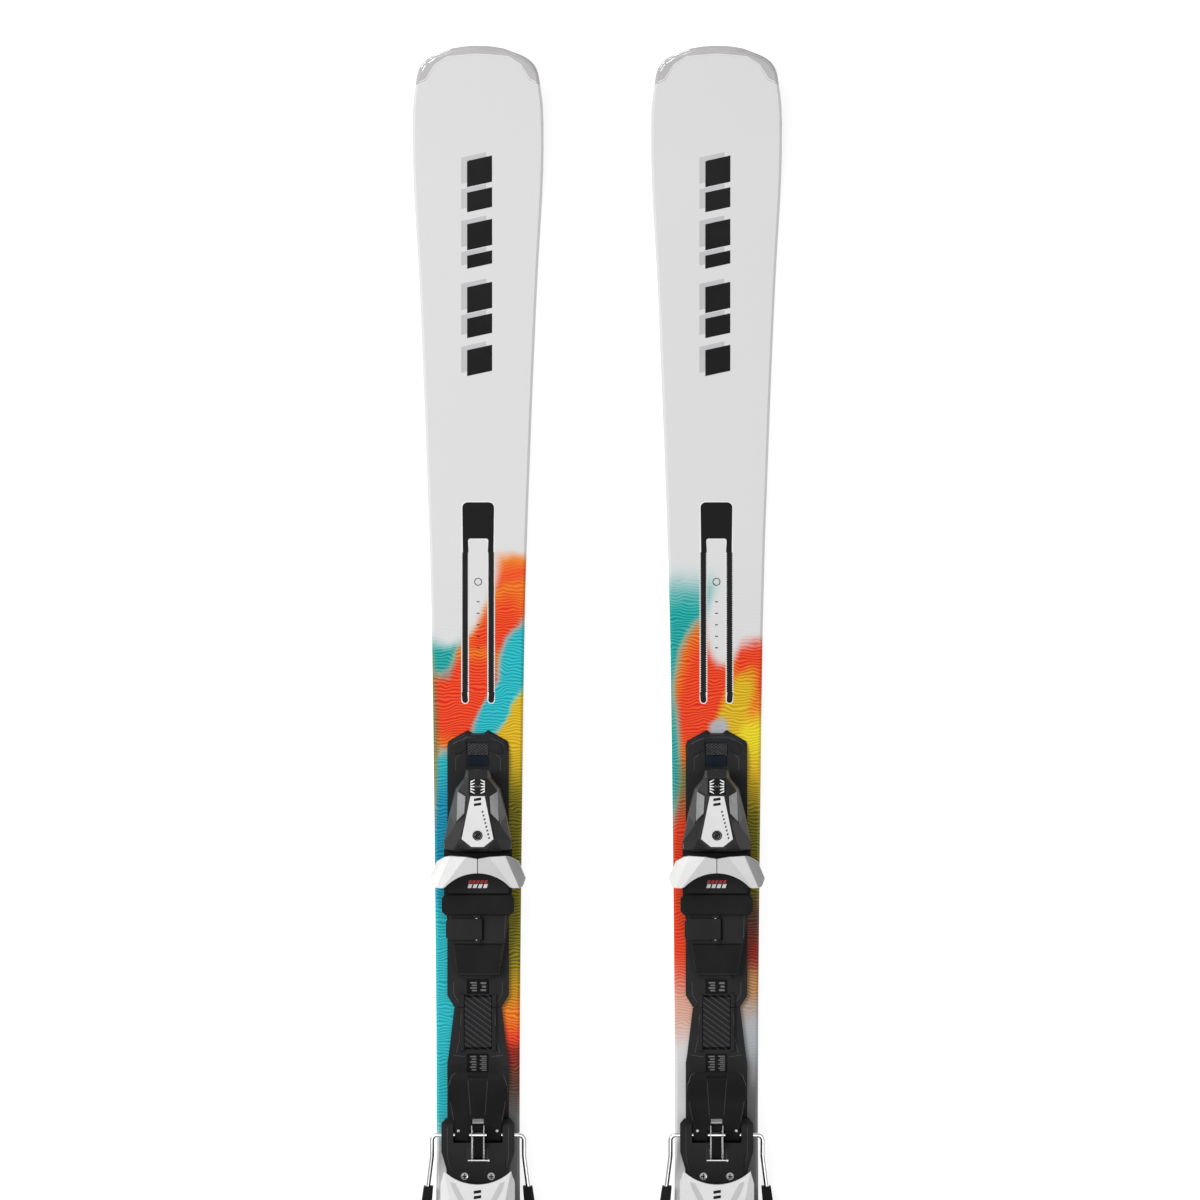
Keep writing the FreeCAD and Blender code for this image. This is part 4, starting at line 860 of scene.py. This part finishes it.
def makeCoverScrew(ski):
    place = fromNode(ski, "toe_housing")
    centre = place(0, coverScrew["back"], coverScrew["up"])
    r, washer = coverScrew["radius"], coverScrew["washer"]
    profile = [(washer, -1.4), (washer, 0.5), (washer - 0.5, 0.9), (r, 0.6), (r - 0.1, -1.4)]
    ring = latheMesh("coverRing", centre, profile)
    keep("cover_ring", ring, ski, "_toe_carriage", "glossBlack")
    profile = [(r - 0.3, -1.6), (r - 0.3, -0.4), (r - 1.0, 0.35), (1.2, 0.6), (1.1, -0.3)]
    dome = latheMesh("coverScrew", centre, profile)
    for face in dome.polygons:
        face.use_smooth = True
    keep("cover_screw", dome, ski, "_toe_carriage", "darkSteel")


# The wings: each fans out in three facets from its seam, around the seat of the boot's toe.
wingShell = {
    "seatBack": 56.2, "lip": 41, "seat": 48, "under": -27.6, "lipUnder": -11, "steps": 9,
    "lipHalf": 29.7, "seam": 0.3, "seatHalf": 37, "seatRear": 28.4,
    "outline": {    # across, back, up
        "seamFront": (0.3, 2.0, -0.6), "foldFront": (10.6, 0.2, -1.0), "bevelFront": (25.4, -0.6, -2.6),
        "shoulder": (30, 0.2, -7.5), "elbow": (37.6, 4.4, -9.5), "tip": (44.1, 20, -14.5),
        "tipRear": (41.4, 27.4, -13.5), "bevelRear": (38.2, 28.8, -6.4), "foldRear": (32.6, 29.0, -2.8),
    },
}


def wingMesh(ski, side, name):
    place = fromNode(ski, "left_wing")
    look = wingShell
    at = lambda x, back, up: place(side * x, back, up)
    wide = math.degrees(math.acos(look["lipHalf"] / look["lip"]))
    seam = math.degrees(math.asin(look["seam"] / look["lip"]))
    around = arc(0, look["seatBack"], look["lip"], -wide, seam - 90, look["steps"])
    lipTop = [at(x, y, -0.3 - 2.4 * (abs(x) / 30) ** 2) for x, y in around]
    lipLow = [at(x, y, look["lipUnder"]) for x, y in around]
    share = look["seat"] / look["lip"]
    deep = [(x * share, look["seatBack"] + (y - look["seatBack"]) * share) for x, y in around]
    deep = [(min(x, look["seatHalf"]), min(y, look["seatRear"])) for x, y in deep]
    deep[-1] = (look["seam"], deep[-1][1])
    seatTop = [at(x, y, look["lipUnder"]) for x, y in deep]
    seatLow = [at(x, y, look["under"]) for x, y in deep]
    rim = [at(*spot) for spot in look["outline"].values()]
    rimLow = [at(x, back, look["under"]) for x, back, up in look["outline"].values()]
    points, rows = [], []
    for group in (lipTop, lipLow, seatTop, seatLow, rim, rimLow):
        rows.append(list(range(len(points), len(points) + len(group))))
        points += group
    lipTop, lipLow, seatTop, seatLow, rim, rimLow = rows    # from here on, the numbers of their points
    at = dict(zip(look["outline"], rim))
    faces = [
        (at["seamFront"], at["foldFront"], at["foldRear"], *lipTop),
        (at["foldFront"], at["bevelFront"], at["bevelRear"], at["foldRear"]),
        (at["bevelFront"], at["shoulder"], at["elbow"], at["tip"], at["tipRear"], at["bevelRear"]),
    ]
    for upper, lower in ((lipTop, lipLow), (lipLow, seatTop), (seatTop, seatLow), (rim, rimLow)):
        for i in range(len(upper) - 1):
            faces.append((upper[i], upper[i + 1], lower[i + 1], lower[i]))
    faces.append((rim[-1], lipTop[0], lipLow[0], seatTop[0], seatLow[0], rimLow[-1]))
    faces.append((rim[0], lipTop[-1], lipLow[-1], seatTop[-1], seatLow[-1], rimLow[0]))
    faces.append((*rimLow, *seatLow))
    return meshFrom(name, points, faces)


def makeWings(ski):
    for word, side in (("left", -1), ("right", 1)):
        mesh = wingMesh(ski, side, f"{word}Wing")
        # Painted light on the wing facets: the shell is a darker copy of the gloss white as painted shade,
        # the fold keeps the gloss white, and the outer bevel is a lighter white on the left wing as painted
        # highlight and a grey on the right wing as painted shade.
        shell = keep(f"{word}_wing_shell", mesh, ski, f"_{word}_wing", "wingWhite")
        shell.data.materials.append(paints["glossWhite"])
        shell.data.materials.append(paints["markWhite" if side < 0 else "bevelGrey"])
        shell.data.polygons[1].material_index = 1    # the fold, then the outer bevel
        shell.data.polygons[2].material_index = 2
        roundEdges(shell, 0.5)
        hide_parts(f"{ski}_{word}_wing")


for ski in skis:
    makeToeShell(ski)
    makeScaleWindow(ski)
    makeCoverScrew(ski)
    makeCoverMarks(ski)
    makeWings(ski)
print("toe pieces: shells, windows, wings and screws are in place")


# The track: a woven panel, a dark window and raised cheeks in front, and two boot-length scales.
trackTrim = {
    "plateUp": -3.0,
    "nose": [(9.4, 3.4), (11.4, 3.2), (19, 7.2), (24, 10.2), (23.4, 13.6), (19, 10.8), (13.4, 9), (9.6, 7.2)],
    "lineWide": 0.6,
    "weave": [(9.8, 12.2), (9.8, 23)], "window": [(9.2, 24), (9.2, 33)],
    "cheek": [(11.2, 8.2), (19.6, 11.8), (22.4, 17), (22.4, 21.6), (16.4, 21.6), (14.6, 19.4), (11.2, 18.6)],
    # The next two lists are paths of painted highlights: grey lines along the tracks' edges.
    "frontSeams": [[(16.2, 22.2), (20.6, 26), (20.6, 37)], [(22.4, 232), (22.4, 243), (17.6, 251)]],
    "rearSeams": [[(15.4, 6), (17.2, 30), (20, 42)], [(23.4, 43.6), (12, 45.4)]],
    "frontScale": {    # each column has its left side, its right side and its number of bars
        "half": 9.8, "front": 230.6, "rear": 241.8, "up": -3.0, "columns": ((-7.2, -1.2, 4), (2.4, 7.4, 3)),
    },
    "rearScale": {
        "half": 9.7, "front": 43.2, "rear": 59.4, "up": -4.8, "columns": ((-7.4, -1.6, 6), (1.6, 7.8, 8)),
    },
}


def crossBars(left, right, front, rear, count, share=0.55):    # count bars between front and rear
    pitch = (rear - front) / count
    rows = []
    for number in range(count):
        top = front + (number + 0.2) * pitch
        shift = 0.25 * (right - left) * (number % 2)
        rows.append(barLoop(left + shift, right, top, top + pitch * share))
    return rows


def makeScale(ski, track, look, name):
    place = fromNode(ski, track)
    half, front, rear, up = look["half"], look["front"], look["rear"], look["up"]
    plate = slabMesh(name, place, [mirroredLoop([(half, front), (half, rear)])], up - 0.2, up + 0.45, 0.2)
    keep(name, plate, ski, "", "glossBlack")
    rows = []
    for left, right, count in look["columns"]:
        rows += crossBars(left, right, front + 0.8, rear - 0.8, count)
    marks = slabMesh(name, place, rows, up + 0.3, up + 0.55)
    keep(f"{name}_marks", marks, ski, "", "markGrey")


def makeTrackTrim(ski):
    place = fromNode(ski, "front_track")
    up = trackTrim["plateUp"]
    for name, paint, rise in (("weave", "carbonCross", 0.4), ("window", "blueBlack", 0.5)):
        mesh = slabMesh(name, place, [mirroredLoop(trackTrim[name])], up - 0.2, up + rise, 0.2)
        keep(f"track_{name}", mesh, ski, "", paint)
    # The nose's chamfer gets a lighter bluish film: a painted highlight.
    nose = inlayMesh("nose", ski, place, [mirroredLoop(trackTrim["nose"])], 0.3, on="front_track")
    keep("track_nose", nose, ski, "", "slateBlack")
    mesh = slabMesh("trackCheeks", place, bothSides([trackTrim["cheek"]]), up - 0.2, up + 1.1)
    piece = keep("track_cheeks", mesh, ski, "", "mouldedBlack")
    roundEdges(piece, 0.4)
    # Grey lines along the tracks' edges, as painted highlights.
    for end in ("front", "rear"):
        loops = bothSides([lineLoop(seam, trackTrim["lineWide"]) for seam in trackTrim[f"{end}Seams"]])
        mesh = inlayMesh(f"{end}_seams", ski, fromNode(ski, f"{end}_track"), loops, 0.2, on=f"{end}_track")
        keep(f"{end}_seams", mesh, ski, "", "seamGrey")
    makeScale(ski, "front_track", trackTrim["frontScale"], "front_scale")
    makeScale(ski, "rear_track", trackTrim["rearScale"], "rear_scale")


# The toe base: a raised plate on its tail, and a badge of plain bars ahead of the sole pad.
baseTrim = {    # each row of bars has its left, right, front and rear
    "plate": [(22.6, 158.6), (18.6, 184.8)], "plateUp": -11.6,
    # The first entry below holds paths of painted highlights along the base's edges.
    "highlights": [[(25.4, 129), (24.6, 153)], [(22.6, 158), (18.8, 183)]],
    "redBars": (-9.2, 9.0, 99.6, 102.6), "whiteBars": (-9.6, 9.4, 103.2, 106.8), "slant": 1.2,
}
highlightWide = 0.5


def highlightLoops(highlights):    # painted highlights along edges on both sides, as narrow loops
    return bothSides([lineLoop(seam, highlightWide) for seam in highlights])


def slantedBars(left, right, front, rear, count, slant):
    pitch = (right - left) / count
    rows = []
    for number in range(count):
        x, wide = left + number * pitch, pitch * 0.72
        rows.append([(x + slant, front), (x + wide + slant, front), (x + wide, rear), (x, rear)])
    return rows


def makeBaseTrim(ski):
    place = fromNode(ski, "toe_base")
    up = baseTrim["plateUp"]
    mesh = slabMesh("basePlate", place, [mirroredLoop(baseTrim["plate"])], up - 0.3, up + 0.9)
    plate = keep("base_plate", mesh, ski, "_toe_carriage", "padBlack")
    roundEdges(plate, 0.4)
    # Grey lines along the toe base's edges: painted highlights.
    highlights = inlayMesh("baseSeams", ski, place, highlightLoops(baseTrim["highlights"]), 0.25, on="toe_base")
    keep("base_seams", highlights, ski, "_toe_carriage", "seamGrey")
    for name, paint, count in (("redBars", "markRed", 5), ("whiteBars", "markWhite", 4)):
        rows = slantedBars(*baseTrim[name], count, baseTrim["slant"])
        mesh = inlayMesh(name, ski, place, rows, 0.25, on="toe_base")
        keep(f"badge_{name}", mesh, ski, "_toe_carriage", paint)


# The brake pedal's two slightly raised grey lines, painted highlights along its edges, and the heel base's
# screws, pins, steel channel and cross pin.
# The pedal's grey lines are painted highlights along its edges.
pedalTrim = {"highlights": [[(-9.0, 8), (-6.6, 40)], [(-25.4, 27), (-22.2, 45)]], "proud": 0.3}
strapTrim = {"strap": [(4.7, 9.2), (4.7, 54.4)], "tab": [(4.6, 0.5), (4.6, 5.2)]}
cupTrim = {
    "ridge": [(25, 9.4), (20.6, 10.6), (8.6, 32.6), (6, 52), (10.4, 54), (13.2, 34.4), (22.4, 17)],
    "bars": ((16.6, 19.2), (21.4, 24)), "half": 3.4, "slant": 1.0,
}
# Paths of painted highlights along the heel base's edges.
heelSeams = [[(9, 27), (9, 41)], [(28.2, 8), (28.2, 34), (25, 48)]]
heelTrim = {
    "screw": {"across": 12.2, "back": 52.9, "up": -12.0, "radius": 3.4, "arm": (2.2, 0.5)},
    "pin": {"across": 17.8, "back": 10.6, "radius": 1.3},
    "channel": {    # its top follows the base's height at the wall beside it
        "inner": 5.2, "outer": 6.0, "front": 5.8, "rear": 38.4, "low": -27.5,
        "wall": 7.5, "wallFront": 8, "proud": 0.2,
    },
    "teeth": (29.2, 32.1, 34.9), "toothAcross": 5.6,
    "crossPin": {"half": 9.2, "back": 38.3, "radius": 0.85, "lift": 0.4, "head": 1.5, "headLong": 1.4},
}


def makePedalTrim(ski):
    place = fromNode(ski, "brake_pedal")
    loops = highlightLoops(pedalTrim["highlights"])
    mesh = inlayMesh("pedalLines", ski, place, loops, pedalTrim["proud"], on="brake_pedal")
    keep("pedal_lines", mesh, ski, "_brake", "seamGrey")


def rodMesh(name, start, end, radius, steps=16):
    axis = (end - start).normalized()
    side = axis.orthogonal().normalized()
    other = axis.cross(side)
    points = []
    for centre in (start, end):
        for i in range(steps):
            a = 2 * math.pi * i / steps
            points.append(centre + (side * math.cos(a) + other * math.sin(a)) * radius / 1000)
    caps = [tuple(range(steps)), tuple(range(steps, 2 * steps))]
    return meshFrom(name, points, wallFaces(0, steps, steps) + caps)


def makeStrapTrim(ski):    # the rack's dark length and bright tab, the painted shade along the white heel's folds, and its bars
    place = fromNode(ski, "heel_adjuster")
    body = "_heel_carriage"
    for name, paint in (("strap", "glossBlack"), ("tab", "markWhite")):
        mesh = inlayMesh(name, ski, place, [mirroredLoop(strapTrim[name])], 0.25, on="heel_adjuster")
        keep(f"rack_{name}", mesh, ski, body, paint)
    place = fromNode(ski, "heel_cup")
    # The cup's folds are flat grey film: painted shade along the creases.
    ridgeShade = inlayMesh("cupRidges", ski, place, bothSides([cupTrim["ridge"]]), 0.35, 4, "heel_cup")
    keep("cup_ridges", ridgeShade, ski, "_heel_cup", "shadowGrey")
    half, slant = cupTrim["half"], cupTrim["slant"]
    loops = [barLoop(-half, half, front, rear, slant) for front, rear in cupTrim["bars"]]
    mesh = inlayMesh("cupBars", ski, place, loops, 0.2, on="heel_cup")
    keep("cup_bars", mesh, ski, "_heel_cup", "inlayBlack")
    place = fromNode(ski, "heel_base")
    # Grey lines along the heel base's edges: painted highlights.
    highlights = inlayMesh("heelSeams", ski, place, highlightLoops(heelSeams), 0.25, on="heel_base")
    keep("heel_seams", highlights, ski, body, "seamGrey")


def makeHeelTrim(ski):
    place = fromNode(ski, "heel_base")
    carriage = "_heel_carriage"
    screw, pin, channel = heelTrim["screw"], heelTrim["pin"], heelTrim["channel"]
    for word, side in (("left", -1), ("right", 1)):
        across, back, up, r = side * screw["across"], screw["back"], screw["up"], screw["radius"]
        profile = [(r, -0.8), (r, 0.15), (r - 0.5, 0.5), (0.6, 0.75)]
        head = latheMesh("baseScrew", place(across, back, up), profile, 28)
        keep(f"heel_screw_{word}", head, ski, carriage, "chrome")
        arms = (screw["arm"], screw["arm"][::-1])
        cross = [barLoop(across - wide, across + wide, back - long, back + long) for wide, long in arms]
        recess = slabMesh("recess", place, cross, up + 0.3, up + 0.82)
        keep(f"heel_recess_{word}", recess, ski, carriage, "glossBlack")
        spot = place(side * pin["across"], pin["back"])
        spot.z = heightOver(f"{ski}_heel_base", spot)
        r = pin["radius"]
        dome = latheMesh("earPin", spot, [(r, -0.8), (r, 0.5), (r * 0.6, 1.0)], 20)
        keep(f"ear_pin_{word}", dome, ski, carriage, "chrome")
        strip = barLoop(side * channel["inner"], side * channel["outer"], channel["front"], channel["rear"])
        points = []
        for x, y in strip:
            edge = place(side * channel["wall"], max(y, channel["wallFront"]))
            wallTop = place(x, y)
            wallTop.z = heightOver(f"{ski}_heel_base", edge) + channel["proud"] / 1000
            points += [place(x, y, channel["low"]), wallTop]
        faces = [(0, 2, 4, 6), (1, 3, 5, 7), (0, 2, 3, 1), (2, 4, 5, 3), (4, 6, 7, 5), (6, 0, 1, 7)]
        keep(f"channel_{word}", meshFrom("channel", points, faces), ski, carriage, "chrome")
        for number, toothBack in enumerate(heelTrim["teeth"]):
            spot = place(side * heelTrim["toothAcross"], toothBack)
            spot.z = heightOver(f"{ski}_heel_base", place(side * channel["wall"], toothBack))
            tooth = latheMesh("tooth", spot, [(0.95, -1), (0.95, 0.6), (0.4, 1.0)], 14)
            keep(f"tooth_{word}_{number}", tooth, ski, carriage, "chrome")
    look = heelTrim["crossPin"]
    start, end = (place(x, look["back"]) for x in (-look["half"], look["half"]))
    start.z = end.z = heightOver(f"{ski}_heel_base", place(8, look["back"])) + look["lift"] / 1000
    keep("cross_pin", rodMesh("crossPin", start, end, look["radius"]), ski, carriage, "chrome")
    headEnd = end + Vector((look["headLong"] / 1000, 0, 0))
    head = rodMesh("crossPinHead", end, headEnd, look["head"])
    keep("cross_pin_head", head, ski, carriage, "chrome")


for ski in skis:
    makeTrackTrim(ski)
    makeBaseTrim(ski)
    makePedalTrim(ski)
    makeStrapTrim(ski)
    makeHeelTrim(ski)
print("middle and heel: scales, badge, pedal lines and heel hardware are in place")
